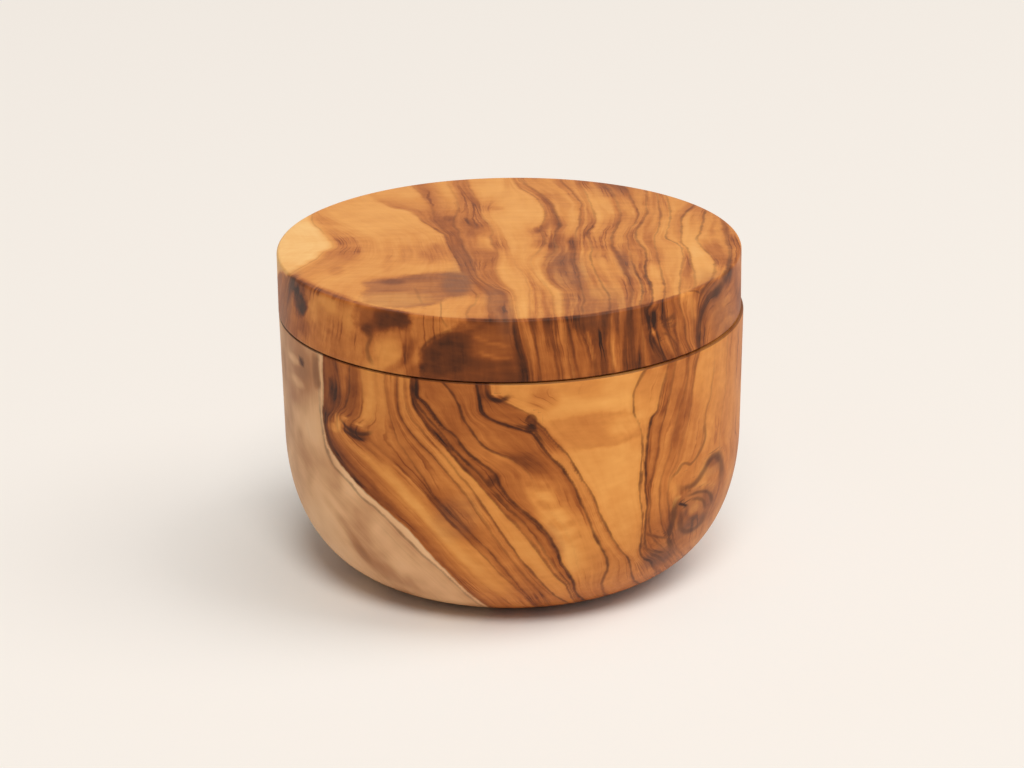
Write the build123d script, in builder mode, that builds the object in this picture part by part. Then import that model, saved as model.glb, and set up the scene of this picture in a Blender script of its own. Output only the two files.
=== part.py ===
from build123d import *

import os
from math import radians, tan

# A turned olive-wood salt keeper: a round bowl under a flat lid that swivels on a hidden pin at
# the back and lifts off it. Millimetres, +Z up, origin at the centre of the foot. The pivot is
# on +Y and the pair of closing magnets on -Y, which is the front.

# Bowl
bowl_diameter = 100.0
bowl_height = 58.0
rim_wall = 12.0
outside_draft = 1.1  # degrees that the upper wall leans in towards the foot
curve_height = 32.0  # where the upright wall turns into the rounded bottom
foot_diameter = 51.0
curve_fullness = 0.61  # 0.55 is a plain ellipse and 1 a square corner
rim_outer_round = 0.35
rim_inner_round = 1.2

# Salt cavity
floor_thickness = 9.0
cavity_draft = 0.8  # degrees
cavity_curve_height = 34.0
cavity_flat_diameter = 34.0

# Lid
lid_thickness = 13.4
lid_setback = 0.25  # how far the lid's side stands inside the bowl's
lid_shift = 0.3  # the lid's disc is centred this far to the left, on -X
lid_gap = 0.2  # the thin seam above the rim
lid_top_round = 0.6
lid_bottom_round = 0.3

# Pivot
pin_diameter = 5.0
pin_chamfer = 0.5
pin_end_clearance = 1.0
running_clearance = 0.05  # round the pin, in its bushes
bush_wall = 0.95
bush_chamfer = 0.25
bush_recess = 0.2  # how far the lid's bush stays inside the wood
bowl_bush_length = 20.0
lid_skin = 5.4  # wood left above the lid's blind bore
washer_diameter = 9.0
washer_thickness = 1.0
washer_clearance = 0.15  # round the pin
washer_chamfer = 0.15
glue_gap = 0.05  # round each piece that is set in the wood

# Closing magnets
magnet_diameter = 8.0
magnet_thickness = 3.0
magnet_chamfer = 0.25
magnet_rise = 0.08  # how far each magnet's face stands out of the wood

# What follows from the sizes above
bowl_radius = bowl_diameter / 2
cavity_radius = bowl_radius - rim_wall
outside_lean = (bowl_height - curve_height) * tan(radians(outside_draft))
cavity_lean = (bowl_height - cavity_curve_height) * tan(radians(cavity_draft))
lid_radius = bowl_radius - lid_setback
lid_bottom = bowl_height + lid_gap
lid_top = lid_bottom + lid_thickness
bush_bore = pin_diameter / 2 + running_clearance
bush_radius = bush_bore + bush_wall
washer_bottom = lid_bottom - washer_thickness
pin_bottom = washer_bottom - bowl_bush_length
lid_bore_top = lid_top - lid_skin
pin_top = lid_bore_top - pin_end_clearance
lid_bush_bottom = lid_bottom + bush_recess
bowl_magnet_bottom = bowl_height + magnet_rise - magnet_thickness
lid_magnet_bottom = lid_bottom - magnet_rise
pivot_place = (0, bowl_radius - rim_wall / 2)
magnet_place = (0, rim_wall / 2 - bowl_radius)


def rounded_corner(wall_x, wall_z, floor_x, floor_z):
    """A full quarter curve, from an upright wall down and in to a level floor."""
    wall_pull = (wall_z - floor_z) * curve_fullness
    floor_pull = (wall_x - floor_x) * curve_fullness
    return Bezier(
        (wall_x, wall_z), (wall_x, wall_z - wall_pull), (floor_x + floor_pull, floor_z), (floor_x, floor_z)
    )


def rings(part, height, radius):
    """The round edges of a part that lie at one height and have one radius."""
    near = 0.01
    circles = part.edges().filter_by(GeomType.CIRCLE)
    level = circles.filter_by(lambda edge: abs(edge.arc_center.Z - height) < near)
    return level.filter_by(lambda edge: abs(edge.radius - radius) < near)


# Bowl, turned from one block, with a stepped bore for the pivot and a seat for the front magnet
with BuildPart() as bowl:
    with BuildSketch(Plane.XZ):
        with BuildLine():
            Line((0, 0), (foot_diameter / 2, 0))
            rounded_corner(bowl_radius - outside_lean, curve_height, foot_diameter / 2, 0)
            Line((bowl_radius - outside_lean, curve_height), (bowl_radius, bowl_height))
            Line((bowl_radius, bowl_height), (cavity_radius, bowl_height))
            Line((cavity_radius, bowl_height), (cavity_radius - cavity_lean, cavity_curve_height))
            rounded_corner(
                cavity_radius - cavity_lean, cavity_curve_height, cavity_flat_diameter / 2, floor_thickness
            )
            Line((cavity_flat_diameter / 2, floor_thickness), (0, floor_thickness))
            Line((0, floor_thickness), (0, 0))
        make_face()
    revolve(axis=Axis.Z)
    fillet(rings(bowl, bowl_height, bowl_radius), radius=rim_outer_round)
    fillet(rings(bowl, bowl_height, cavity_radius), radius=rim_inner_round)
    with Locations((*pivot_place, bowl_height)):
        CounterBoreHole(
            radius=bush_radius + glue_gap,
            counter_bore_radius=washer_diameter / 2 + glue_gap,
            counter_bore_depth=bowl_height - washer_bottom,
            depth=bowl_height - pin_bottom,
        )
    with Locations((*magnet_place, bowl_height)):
        Hole(radius=magnet_diameter / 2 + glue_gap, depth=bowl_height - bowl_magnet_bottom)
bowl.part.label = "bowl"

# Lid, one turned disc, with both its seats drilled from below
with BuildPart() as lid:
    with BuildSketch(Plane.XY.offset(lid_bottom)):
        with Locations((-lid_shift, 0)):
            Circle(lid_radius)
    extrude(amount=lid_thickness)
    fillet(rings(lid, lid_top, lid_radius), radius=lid_top_round)
    fillet(rings(lid, lid_bottom, lid_radius), radius=lid_bottom_round)
    with BuildSketch(Plane.XY.offset(lid_bottom)):
        with Locations(pivot_place):
            Circle(bush_radius + glue_gap)
    extrude(amount=lid_bore_top - lid_bottom, mode=Mode.SUBTRACT)
    with BuildSketch(Plane.XY.offset(lid_bottom)):
        with Locations(magnet_place):
            Circle(magnet_diameter / 2 + glue_gap)
    extrude(amount=magnet_thickness - magnet_rise, mode=Mode.SUBTRACT)
lid.part.label = "lid"

# Pivot pin, a plain steel dowel that stands loose in the bowl's bush
with BuildPart() as pivot_pin:
    with BuildSketch(Plane.XY.offset(pin_bottom)):
        with Locations(pivot_place):
            Circle(pin_diameter / 2)
    extrude(amount=pin_top - pin_bottom)
    chamfer(pivot_pin.edges().filter_by(GeomType.CIRCLE), length=pin_chamfer)
pivot_pin.part.label = "pivot_pin"

# Brass bush that lines the bowl's bore
with BuildPart() as bowl_bush:
    with BuildSketch(Plane.XY.offset(pin_bottom)):
        with Locations(pivot_place):
            Circle(bush_radius)
            Circle(bush_bore, mode=Mode.SUBTRACT)
    extrude(amount=bowl_bush_length)
    chamfer(rings(bowl_bush, pin_bottom, bush_radius), length=bush_chamfer)
    chamfer(rings(bowl_bush, washer_bottom, bush_bore), length=bush_chamfer)
bowl_bush.part.label = "bowl_bush"

# Brass bush that lines the lid's bore
with BuildPart() as lid_bush:
    with BuildSketch(Plane.XY.offset(lid_bush_bottom)):
        with Locations(pivot_place):
            Circle(bush_radius)
            Circle(bush_bore, mode=Mode.SUBTRACT)
    extrude(amount=lid_bore_top - lid_bush_bottom)
    chamfer(rings(lid_bush, lid_bush_bottom, bush_bore), length=bush_chamfer)
    chamfer(rings(lid_bush, lid_bore_top, bush_radius), length=bush_chamfer)
lid_bush.part.label = "lid_bush"

# Nylon washer that carries the lid clear of the rim
with BuildPart() as pivot_washer:
    with BuildSketch(Plane.XY.offset(washer_bottom)):
        with Locations(pivot_place):
            Circle(washer_diameter / 2)
            Circle(pin_diameter / 2 + washer_clearance, mode=Mode.SUBTRACT)
    extrude(amount=washer_thickness)
    chamfer(rings(pivot_washer, lid_bottom, washer_diameter / 2), length=washer_chamfer)
pivot_washer.part.label = "pivot_washer"

# Closing magnet in the rim
with BuildPart() as bowl_magnet:
    with BuildSketch(Plane.XY.offset(bowl_magnet_bottom)):
        with Locations(magnet_place):
            Circle(magnet_diameter / 2)
    extrude(amount=magnet_thickness)
    chamfer(bowl_magnet.edges().filter_by(GeomType.CIRCLE), length=magnet_chamfer)
bowl_magnet.part.label = "bowl_magnet"

# Closing magnet in the lid, face to face with the other when the keeper is shut
with BuildPart() as lid_magnet:
    with BuildSketch(Plane.XY.offset(lid_magnet_bottom)):
        with Locations(magnet_place):
            Circle(magnet_diameter / 2)
    extrude(amount=magnet_thickness)
    chamfer(lid_magnet.edges().filter_by(GeomType.CIRCLE), length=magnet_chamfer)
lid_magnet.part.label = "lid_magnet"

os.makedirs("parts", exist_ok=True)
for piece in [bowl, lid, pivot_pin, bowl_bush, lid_bush, pivot_washer, bowl_magnet, lid_magnet]:
    name = piece.part.label
    export_step(piece.part, f"parts/{name}.step")
    print(f"{name}: volume {piece.part.volume:.1f} mm3, valid {piece.part.is_valid}")
print(f"pin length {pin_top - pin_bottom:.1f} mm, overall height {lid_top:.1f} mm")
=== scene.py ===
import math

import bpy
import numpy as np
from mathutils import Matrix, Vector


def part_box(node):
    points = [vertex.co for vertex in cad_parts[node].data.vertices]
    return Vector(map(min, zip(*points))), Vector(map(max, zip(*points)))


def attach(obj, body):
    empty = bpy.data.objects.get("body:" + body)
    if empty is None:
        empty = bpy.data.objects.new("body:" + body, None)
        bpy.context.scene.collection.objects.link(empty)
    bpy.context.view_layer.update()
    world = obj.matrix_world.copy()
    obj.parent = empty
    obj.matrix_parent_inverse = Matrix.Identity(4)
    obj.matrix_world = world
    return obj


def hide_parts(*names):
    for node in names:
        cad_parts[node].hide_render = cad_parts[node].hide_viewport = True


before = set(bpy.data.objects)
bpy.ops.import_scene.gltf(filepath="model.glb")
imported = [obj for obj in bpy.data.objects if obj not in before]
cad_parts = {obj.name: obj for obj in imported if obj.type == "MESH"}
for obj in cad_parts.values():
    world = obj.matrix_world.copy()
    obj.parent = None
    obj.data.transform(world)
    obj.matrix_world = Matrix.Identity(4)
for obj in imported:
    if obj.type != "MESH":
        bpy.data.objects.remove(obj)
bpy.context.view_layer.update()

# Sizes in metres. The outside ones come from the frame and the rest repeat the part's own.
MM = 0.001
lid_low, lid_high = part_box("lid")
pin_low, pin_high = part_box("pivot_pin")
magnet_low, magnet_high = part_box("bowl_magnet")
washer_low, washer_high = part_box("pivot_washer")

RIM_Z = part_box("bowl")[1].z
LID_BOTTOM = lid_low.z
LID_TOP = lid_high.z
LID_RADIUS = (lid_high.x - lid_low.x) / 2
LID_CENTRE_X = (lid_high.x + lid_low.x) / 2
BOWL_RADIUS = 50 * MM
CAVITY_RADIUS = 38 * MM
SHOULDER = (49.5 * MM, 32 * MM)
FOOT_RADIUS = 25.5 * MM
HOLLOW_SHOULDER = (37.66 * MM, 34 * MM)
HOLLOW_FLOOR = (17 * MM, 9 * MM)
CURVE_FULLNESS = 0.61
RIM_OUTER_ROUND = 0.35 * MM
RIM_INNER_ROUND = 1.2 * MM
LID_TOP_ROUND = 0.6 * MM
LID_BOTTOM_ROUND = 0.3 * MM
PIVOT_Y = (pin_high.y + pin_low.y) / 2
MAGNET_Y = (magnet_high.y + magnet_low.y) / 2
SEAT_GAP = 0.05 * MM
BUSH_SEAT_RADIUS = 3.55 * MM
WASHER_SEAT_RADIUS = (washer_high.x - washer_low.x) / 2 + SEAT_GAP
MAGNET_SEAT_RADIUS = (magnet_high.x - magnet_low.x) / 2 + SEAT_GAP
LID_BORE_TOP = 66.2 * MM

# The mesh is fine where it shows, so that the grain's fields are smooth between its points: faces
# round each half, steps along the profile, and steps round each rounded edge
FRONT_TURNS = 340
BACK_TURNS = 120
OUTER_STEP = 0.62 * MM
RIM_STEP = OUTER_STEP * 1.3
FOOT_STEP = OUTER_STEP * 1.5
LID_UNDERSIDE_STEP = OUTER_STEP * 2
INNER_STEP = 2 * MM
SMALL_ROUND_STEPS = 4
ROUND_STEPS = 6
CURVE_LENGTH = 1.2  # of a full curve, as a part of the straight way between its ends
HOLE_SIDES = 64
SHARP_ANGLE = math.radians(35)

# The photograph's camera, in millimetres and degrees, with places in metres
CAMERA_LENS = 123.05
CAMERA_SENSOR = 36
CAMERA_PITCH = 20.17
CAMERA_ROLL = 0.66
CAMERA_DISTANCE = 761 * MM
CAMERA_AIM = Vector((0, 0, 39.7 * MM))
CAMERA_NEAREST = 10 * MM

# How much of the floor's own colour the camera sees, whatever light falls there, and the distances
# between which that begins, from a point on the shadow's side of the foot
FLOOR_EVENNESS = 0.55
FLOOR_EVEN_CENTRE = (-9 * MM, 0, 0)
FLOOR_EVEN_FROM = 32 * MM
FLOOR_EVEN_TO = 80 * MM

# The floor's colour, and the cooler one near the foot that takes back the glow of the warm wood
FLOOR_COLOUR = (249, 242, 234)
FLOOR_NEAR_COLOUR = (247, 247, 243)
FLOOR_NEAR_FROM = 30 * MM
FLOOR_NEAR_TO = 110 * MM
FLOOR_SIZE = 16
FLOOR_ROUGHNESS = 0.9
FLOOR_SPECULAR = 0.1

# Two round lamps, one at the right and one in front, with places and sizes in metres and their
# power in watts
LAMP_COLOUR = (1.0, 0.99, 0.97)
LAMP_AIM = Vector((0, 0, 30 * MM))
KEY_PLACE = (1.9, -0.25, 2.6)
KEY_SIZE = 2
KEY_POWER = 46
FRONT_PLACE = (0.1, -1.8, 2.6)
FRONT_SIZE = 1.2
FRONT_POWER = 45

# The pale room: how strong its light is from eye level, from overhead, and as it is seen
WORLD_COLOUR = (252, 249, 245)
WORLD_LOW = 0.14
WORLD_HIGH = 0.36
WORLD_SEEN = 0.7

# Material of each fitting: its name, colour, roughness and whether it is metal, and the nodes
FITTINGS = [
    ("pin_steel", (196, 196, 198), 0.25, 1, ["pivot_pin"]),
    ("bush_brass", (214, 176, 104), 0.3, 1, ["bowl_bush", "lid_bush"]),
    ("washer_nylon", (222, 218, 204), 0.5, 0, ["pivot_washer"]),
    ("magnet_nickel", (206, 203, 197), 0.15, 1, ["bowl_magnet", "lid_magnet"]),
]

# Their machining marks: noise in waves a metre and octaves, how dark they are and how rough
BRUSHED_NOISE = (2000, 2)
BRUSHED_DARK = 0.8
BRUSHED_ROUGHNESS = 0.06

# How the bowl's grain bends towards the back, in millimetres: where that begins and ends, and the
# waves that carry it sideways and up, each with its height, its radians a millimetre along x, y
# and z, and its start
BACK_BEND = (-8, 34)
BACK_WAVES_ACROSS = [(6, 0, 1 / 23, 1 / 17, 0), (3.5, 0, -1 / 11, 1 / 7.3, 2)]
BACK_WAVES_UP = [(4, 1 / 15, 0, 0, 1), (3, 0, 1 / 13, 0, 0)]

# Between which places the bowl's and the lid's tables are read, in millimetres
BOWL_HEIGHTS = (1, 58)
LID_PLACES = (-62, 50)

# Places towards the back between which the bowl's front ends, and the distances between lines
# over which those behind it fade in
FRONT_END = (-10, 4)
BACK_CROWDING = (1.0, 3.4)

# The sapwood's depth is kept up to this far from its edge
SAP_REACH = 3.0

# Strength of the broad stripes in the bowl and, from left to right, in the lid
BOWL_STRIPES = 0.045
LID_STRIPES = (0.04, 0.11)
LID_STRIPES_RISE = (-14, 6)

# The lid's side and top, in millimetres from the edge between them: where the tones and where the
# rest change from one to the other. The side's tones are written for an edge at SIDE_TONES. Then
# how much darker each is than its tones, as painted shade for the side that is lit less than the
# top, and factors for the softness and ink of its lines.
SIDE_START = (0, 0.7)
TOP_START = (-0.5, 0.5)
SIDE_TONES = -51
SIDE_PAINTED_SHADE = 0.13
TOP_PAINTED_SHADE = 0.02
SIDE_SOFT = 1.35
TOP_SOFT = 1.7
SIDE_INK = 0.65
TOP_INK = 0.75

# Grain of the bowl, seen from the front. Each line is one growth boundary, as points (x, z) in
# millimetres from the rim down, then the tone of the wood on its left and right in hundredths, as
# (z, left, right) with 0 for pale gold and 100 for near black, then its ink in hundredths, as
# (z, ink), its width and its softness.
BOWL_LINES = [
    ([(-40.4, 58), (-40.3, 51), (-40, 45), (-39.8, 41), (-39, 37), (-37.6, 34), (-34.5, 31.6), (-32, 29.3),
      (-28, 26.8), (-24, 23.2), (-20, 19.2), (-16, 15.3), (-12, 10.8), (-8.3, 5.5), (-6, 2)],
     [(58, 50, 30), (46, 42, 20), (36, 40, 30), (20, 40, 30), (2, 45, 35)],
     [(58, 35), (48, 35), (36, 50), (20, 50), (8, 30)], 0.75, 0.5),
    ([(-39.2, 58), (-39.3, 50), (-39.4, 46), (-39.4, 42), (-38.6, 38.6), (-36.6, 35.6), (-33.4, 32.4),
      (-30, 30), (-26, 27.2), (-22, 24), (-18, 19.6), (-14, 14.6), (-10, 9.4), (-6.5, 4.6), (-5, 2)],
     [(58, 35, 74), (48, 26, 80), (42, 20, 90), (34, 16, 88), (24, 14, 80), (12, 14, 70), (4, 22, 64)],
     [(58, 10), (44, 50), (36, 50), (26, 20), (10, 20)], 0.6, 0.3),
    ([(-36.6, 58), (-35.6, 52), (-36.4, 47.5), (-38, 44), (-37.8, 41.6), (-36.2, 38.8), (-33.4, 36),
      (-30, 33.4), (-26, 30.2), (-22, 26.6), (-18, 22.2), (-14, 17), (-10, 11.8), (-6, 7), (-3, 2)],
     [(58, 72, 60), (50, 76, 64), (44, 66, 60), (38, 78, 70), (30, 72, 62), (20, 62, 54), (10, 56, 50),
      (2, 56, 56)],
     [(58, 40), (46, 45), (40, 0)], 0.4, 0.8),
    ([(-33.4, 58), (-33.4, 53), (-34.4, 49), (-36.4, 45.4), (-36.2, 42.4), (-34, 39.8), (-31, 37.6),
      (-27, 34.6), (-23, 31), (-19, 27.2), (-15, 22.6), (-11, 17.6), (-7, 12.8), (-3, 8), (0, 2)],
     [(58, 56, 70), (53, 62, 80), (48, 60, 72), (44, 50, 50), (38, 56, 38), (30, 44, 24), (20, 40, 22),
      (10, 45, 34), (2, 60, 50)],
     [(58, 50), (48, 60), (44, 20), (40, 0)], 0.5, 0.8),
    ([(-31.2, 58), (-30.8, 52), (-31.4, 47.6), (-33.6, 44.6), (-33.8, 42.8), (-31.6, 41.4), (-28, 39),
      (-24, 35.4), (-20, 31.2), (-16, 26.8), (-12, 22.2), (-8, 17.4), (-4, 12.6), (0, 7.6), (3, 2)],
     [(58, 58, 40), (52, 60, 33), (47, 62, 33), (44.4, 50, 65), (42, 60, 62), (38, 34, 42), (32, 28, 36),
      (18, 28, 34), (10, 36, 40), (2, 50, 50)],
     [(58, 10), (46, 30), (42, 30), (38, 0)], 0.4, 0.7),
    ([(-28.2, 58), (-28, 52), (-28.4, 48), (-30.2, 44.8), (-30.6, 43.2), (-28, 41.4), (-24, 38.6),
      (-20, 35.2), (-16, 30.6), (-12, 26), (-8, 21.4), (-4, 16.4), (0, 11.2), (2.6, 7), (4.6, 2)],
     [(58, 35, 40), (50, 30, 38), (45, 50, 60), (42, 58, 62), (36, 46, 62), (30, 42, 64), (24, 42, 60),
      (16, 36, 50), (8, 50, 60)],
     [(58, 0), (40, 10), (34, 30), (20, 30), (10, 25)], 0.4, 0.6),
    ([(-26, 58), (-25.8, 53), (-25.2, 49.6), (-24.4, 46), (-23.4, 43.6), (-21.4, 40.6), (-18.4, 36),
      (-16.2, 32.4), (-12, 28.2), (-8, 23.8), (-5.8, 21.4), (-2.4, 16.8), (0.4, 12), (3, 7), (5.2, 2)],
     [(58, 40, 46), (50, 38, 46), (44, 50, 50), (38, 55, 60), (32, 64, 56), (26, 62, 52), (20, 60, 52),
      (12, 55, 52), (6, 60, 62)],
     [(58, 25), (44, 15), (36, 45), (24, 50), (10, 35)], 0.5, 0.4),
    ([(-23.4, 58), (-23.5, 53), (-22.9, 49.4), (-21.2, 46.4), (-18, 43), (-14.6, 39.4), (-11.6, 35.8),
      (-8.6, 31.6), (-6, 27.6), (-3, 22.4), (0, 17.6), (3, 13), (5.4, 8.6), (8, 2)],
     [(58, 52, 42), (50, 52, 40), (44, 50, 42), (36, 48, 40), (30, 48, 42), (24, 50, 48), (16, 52, 54),
      (8, 60, 60)],
     [(58, 45), (40, 45), (24, 20), (8, 30)], 0.6, 0.5),
    ([(-22, 58), (-22, 54), (-21, 50), (-18.2, 46.4), (-15, 42.8), (-12, 39.2), (-8, 34), (-5, 29.2),
      (-2, 24.2), (0.8, 19.6), (4, 15), (6.3, 10.8), (8.3, 7.8), (10.6, 4.5), (11.6, 2)],
     [(58, 40, 36), (50, 38, 38), (42, 38, 36), (34, 40, 32), (26, 48, 33), (20, 50, 32), (12, 50, 36),
      (6, 55, 48)],
     [(58, 10), (40, 25), (30, 55), (8, 60)], 0.55, 0.4),
    ([(-20.6, 58), (-20.7, 55), (-20.3, 52.6), (-18.3, 49.2), (-15.6, 45.6), (-13.2, 43), (-10.6, 40),
      (-7.6, 36.8), (-4.6, 33.2), (-1.6, 29.4), (1.4, 25.6), (4.6, 20.8), (7.2, 16.2), (9.2, 12.8),
      (10.6, 11.2), (11.6, 8), (12.6, 4.4), (13.4, 2)],
     [(58, 40, 72), (54, 45, 80), (48, 40, 66), (42, 36, 60), (36, 32, 60), (30, 33, 56), (24, 35, 52),
      (16, 35, 50), (8, 45, 50)],
     [(58, 70), (42, 80), (36, 50), (24, 40), (10, 50)], 0.8, 0.35),
    ([(-20.3, 54.4), (-19.4, 52.6), (-16.8, 49.4), (-14.6, 46.6), (-12.4, 43.8), (-9.8, 40.9), (-7, 38.4),
      (-4.4, 35), (-1.2, 31), (2, 27.4), (5.2, 22.4), (7.8, 17.4), (9.8, 13.6), (11.2, 11.4), (12.2, 8),
      (13, 4.4), (14, 2)],
     [(58, 80, 60), (50, 50, 50), (44, 60, 55), (38, 58, 60), (32, 54, 58), (26, 48, 53), (18, 48, 52),
      (10, 50, 50)],
     [(58, 50), (50, 70), (42, 80), (34, 50), (20, 30)], 0.7, 0.4),
    ([(-19.4, 58), (-19.3, 56), (-19.4, 54.4), (-17.6, 52.8), (-15.8, 50.3), (-14.2, 47.9), (-12, 46.5),
      (-10.6, 44.6), (-8.4, 42.2), (-5.6, 40), (-3.6, 38.2), (-2.8, 36), (-0.8, 33), (2, 30.2),
      (4.6, 27.4), (7, 24.4), (8.8, 20.6), (9.6, 17.6), (11, 14.4), (12.3, 11.2), (12.8, 8), (13.8, 5.6),
      (15.4, 2)],
     [(58, 85, 60), (54, 80, 55), (48, 60, 56), (42, 58, 48), (38, 62, 60), (34, 64, 60), (28, 58, 46),
      (22, 60, 34), (16, 55, 32), (10, 56, 42), (4, 60, 60)],
     [(58, 80), (50, 85), (30, 75), (20, 85), (8, 80)], 0.8, 0.35),
    ([(-14.2, 58), (-12.6, 56.2), (-11.2, 53.8), (-10.2, 51), (-8.8, 48.4), (-7.4, 45.9), (-5.2, 44),
      (-2, 42.5), (0.4, 41.2), (3, 38.6), (4.6, 35), (6.4, 31.6), (9, 28), (11.2, 24), (12.6, 19.6),
      (13.6, 15), (14.6, 10), (16, 5.6), (17.4, 2)],
     [(58, 60, 70), (54, 56, 64), (50, 62, 58), (46, 58, 55), (42, 42, 64), (38, 50, 56), (34, 40, 40),
      (28, 38, 34), (20, 33, 36), (12, 40, 42), (6, 50, 55)],
     [(58, 70), (44, 75), (40, 35), (36, 0)], 0.7, 0.5),
    ([(-7.2, 58), (-6.8, 55), (-6.4, 52.2), (-4.4, 50.4), (-1.4, 49.2), (1.4, 48.2), (3.8, 47.4),
      (4.9, 45.9), (6.4, 43.5), (8.8, 40.6), (10.8, 37.8), (12.4, 35), (13.6, 31.8), (15.2, 27.8),
      (16.4, 24), (17.9, 20.2), (19.2, 16.6), (19.5, 14), (18.9, 11.6), (18.4, 9), (19, 5.6), (20, 2)],
     [(58, 60, 80), (54, 64, 74), (51, 60, 70), (49, 56, 62), (46, 56, 60), (42, 60, 46), (38, 60, 38),
      (32, 60, 42), (26, 42, 42), (20, 40, 42), (14, 42, 38), (9, 50, 40), (4, 60, 60)],
     [(58, 80), (48, 80), (40, 75), (30, 65), (16, 75), (8, 40)], 0.75, 0.35),
    ([(-4.6, 58), (-4.2, 55.6), (-2, 54.4), (0.6, 53), (3, 51.6), (5.2, 49.2), (6.6, 47.8), (8.4, 45.2),
      (10.3, 43.2), (12.2, 40), (14.2, 36.3), (16.4, 31.8), (18, 27.2), (20, 22.6), (22, 18.3), (24, 14.8),
      (24.6, 10.6), (25.4, 7.4), (26.4, 5), (27, 2)],
     [(58, 72, 40), (55, 80, 40), (52, 60, 30), (49, 66, 36), (45, 66, 50), (42, 42, 30), (36, 38, 27),
      (30, 40, 27), (24, 42, 30), (18, 46, 36), (12, 52, 42), (6, 55, 50)],
     [(58, 30), (50, 50), (44, 60), (24, 50), (12, 70), (6, 70)], 0.6, 0.35),
    ([(27.2, 58), (26, 55.8), (24.9, 53), (24.8, 49), (26, 46.2), (26.8, 43.6), (26.8, 40), (26.5, 36),
      (26.2, 32), (26.6, 28), (26.9, 24), (26.7, 20), (26.5, 16.4), (27.2, 14.2), (28.6, 12.6), (30, 8),
      (31, 2)],
     [(58, 30, 40), (52, 26, 36), (46, 40, 33), (40, 27, 33), (30, 27, 33), (20, 36, 42), (14, 45, 52),
      (6, 55, 60)],
     [(58, 50), (50, 75), (44, 70), (20, 60), (14, 80), (8, 30)], 0.65, 0.3),
    ([(32.2, 58), (31.3, 54), (30.4, 50.6), (29.7, 48), (28.6, 47), (28.1, 44), (27.7, 40), (27.4, 36),
      (27.4, 32), (27.8, 28), (27.5, 24), (27.3, 20), (27.6, 17), (29, 14.8), (31, 12), (32.6, 8),
      (34, 2)],
     [(58, 46, 60), (52, 40, 56), (48, 38, 58), (44, 42, 60), (38, 40, 60), (32, 40, 58), (26, 42, 52),
      (18, 48, 56), (10, 60, 62)],
     [(58, 40), (50, 50), (46, 90), (26, 90), (16, 50), (8, 20)], 0.65, 0.3),
    ([(34, 58), (33.2, 54), (32.4, 50), (31.2, 46), (30.3, 42), (30, 38), (29.3, 35), (28.5, 32),
      (28.4, 28), (28.2, 24), (28.6, 20.4), (30, 17.4), (31.8, 14.4), (33.4, 11), (34.6, 7), (36, 2)],
     [(58, 60, 48), (50, 58, 48), (42, 60, 48), (36, 58, 46), (30, 58, 46), (24, 54, 50), (18, 56, 56),
      (12, 60, 60)],
     [(58, 25), (42, 40), (28, 45), (18, 40), (8, 20)], 0.5, 0.4),
    ([(36.7, 58), (36.2, 54), (35.6, 50), (34.4, 46), (33.4, 42), (32.6, 38), (31.4, 34.6), (30.6, 31),
      (30.4, 27), (30.8, 23), (31.8, 19), (33, 15), (34.2, 11), (35.4, 7), (37, 2)],
     [(58, 48, 52), (50, 48, 52), (42, 46, 55), (36, 46, 50), (30, 42, 48), (24, 48, 52), (18, 56, 62),
      (8, 60, 60)],
     [(58, 25), (44, 20), (34, 25), (22, 50), (8, 30)], 0.5, 0.5),
    ([(38.8, 58), (38.1, 55), (37.5, 51), (37.2, 47), (36.4, 43), (35.2, 39), (34.4, 35.4), (32.6, 32),
      (32.2, 28), (32.6, 24), (33.2, 19), (34.2, 14), (36, 9), (38.4, 2)],
     [(58, 54, 36), (52, 60, 34), (48, 66, 38), (42, 62, 44), (36, 48, 44), (28, 48, 50), (18, 62, 66),
      (8, 60, 60)],
     [(58, 40), (48, 30), (38, 10), (30, 30), (20, 60), (10, 30)], 0.5, 0.5),
    ([(42.6, 58), (42.2, 52), (41.4, 46), (40.3, 42.4), (40, 38.6), (39.4, 36), (38.4, 33), (38, 30),
      (38, 26), (38, 22), (38, 18), (38, 13), (38.8, 8), (40.4, 2)],
     [(58, 36, 36), (50, 34, 38), (44, 38, 42), (38, 42, 42), (28, 50, 50), (8, 55, 55)],
     [(58, 0), (48, 20), (40, 40), (34, 20), (30, 0)], 0.45, 0.6),
    ([(45.6, 58), (45.2, 50), (44.8, 44), (44.2, 39), (43.8, 34), (44.4, 30), (44.4, 26), (43.2, 21),
      (42, 16), (42, 10), (43, 2)],
     [(58, 42, 46), (50, 40, 44), (40, 40, 42), (30, 50, 48), (20, 50, 50), (2, 50, 50)],
     [(58, 10), (2, 10)], 0.4, 0.8),
]

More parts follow.
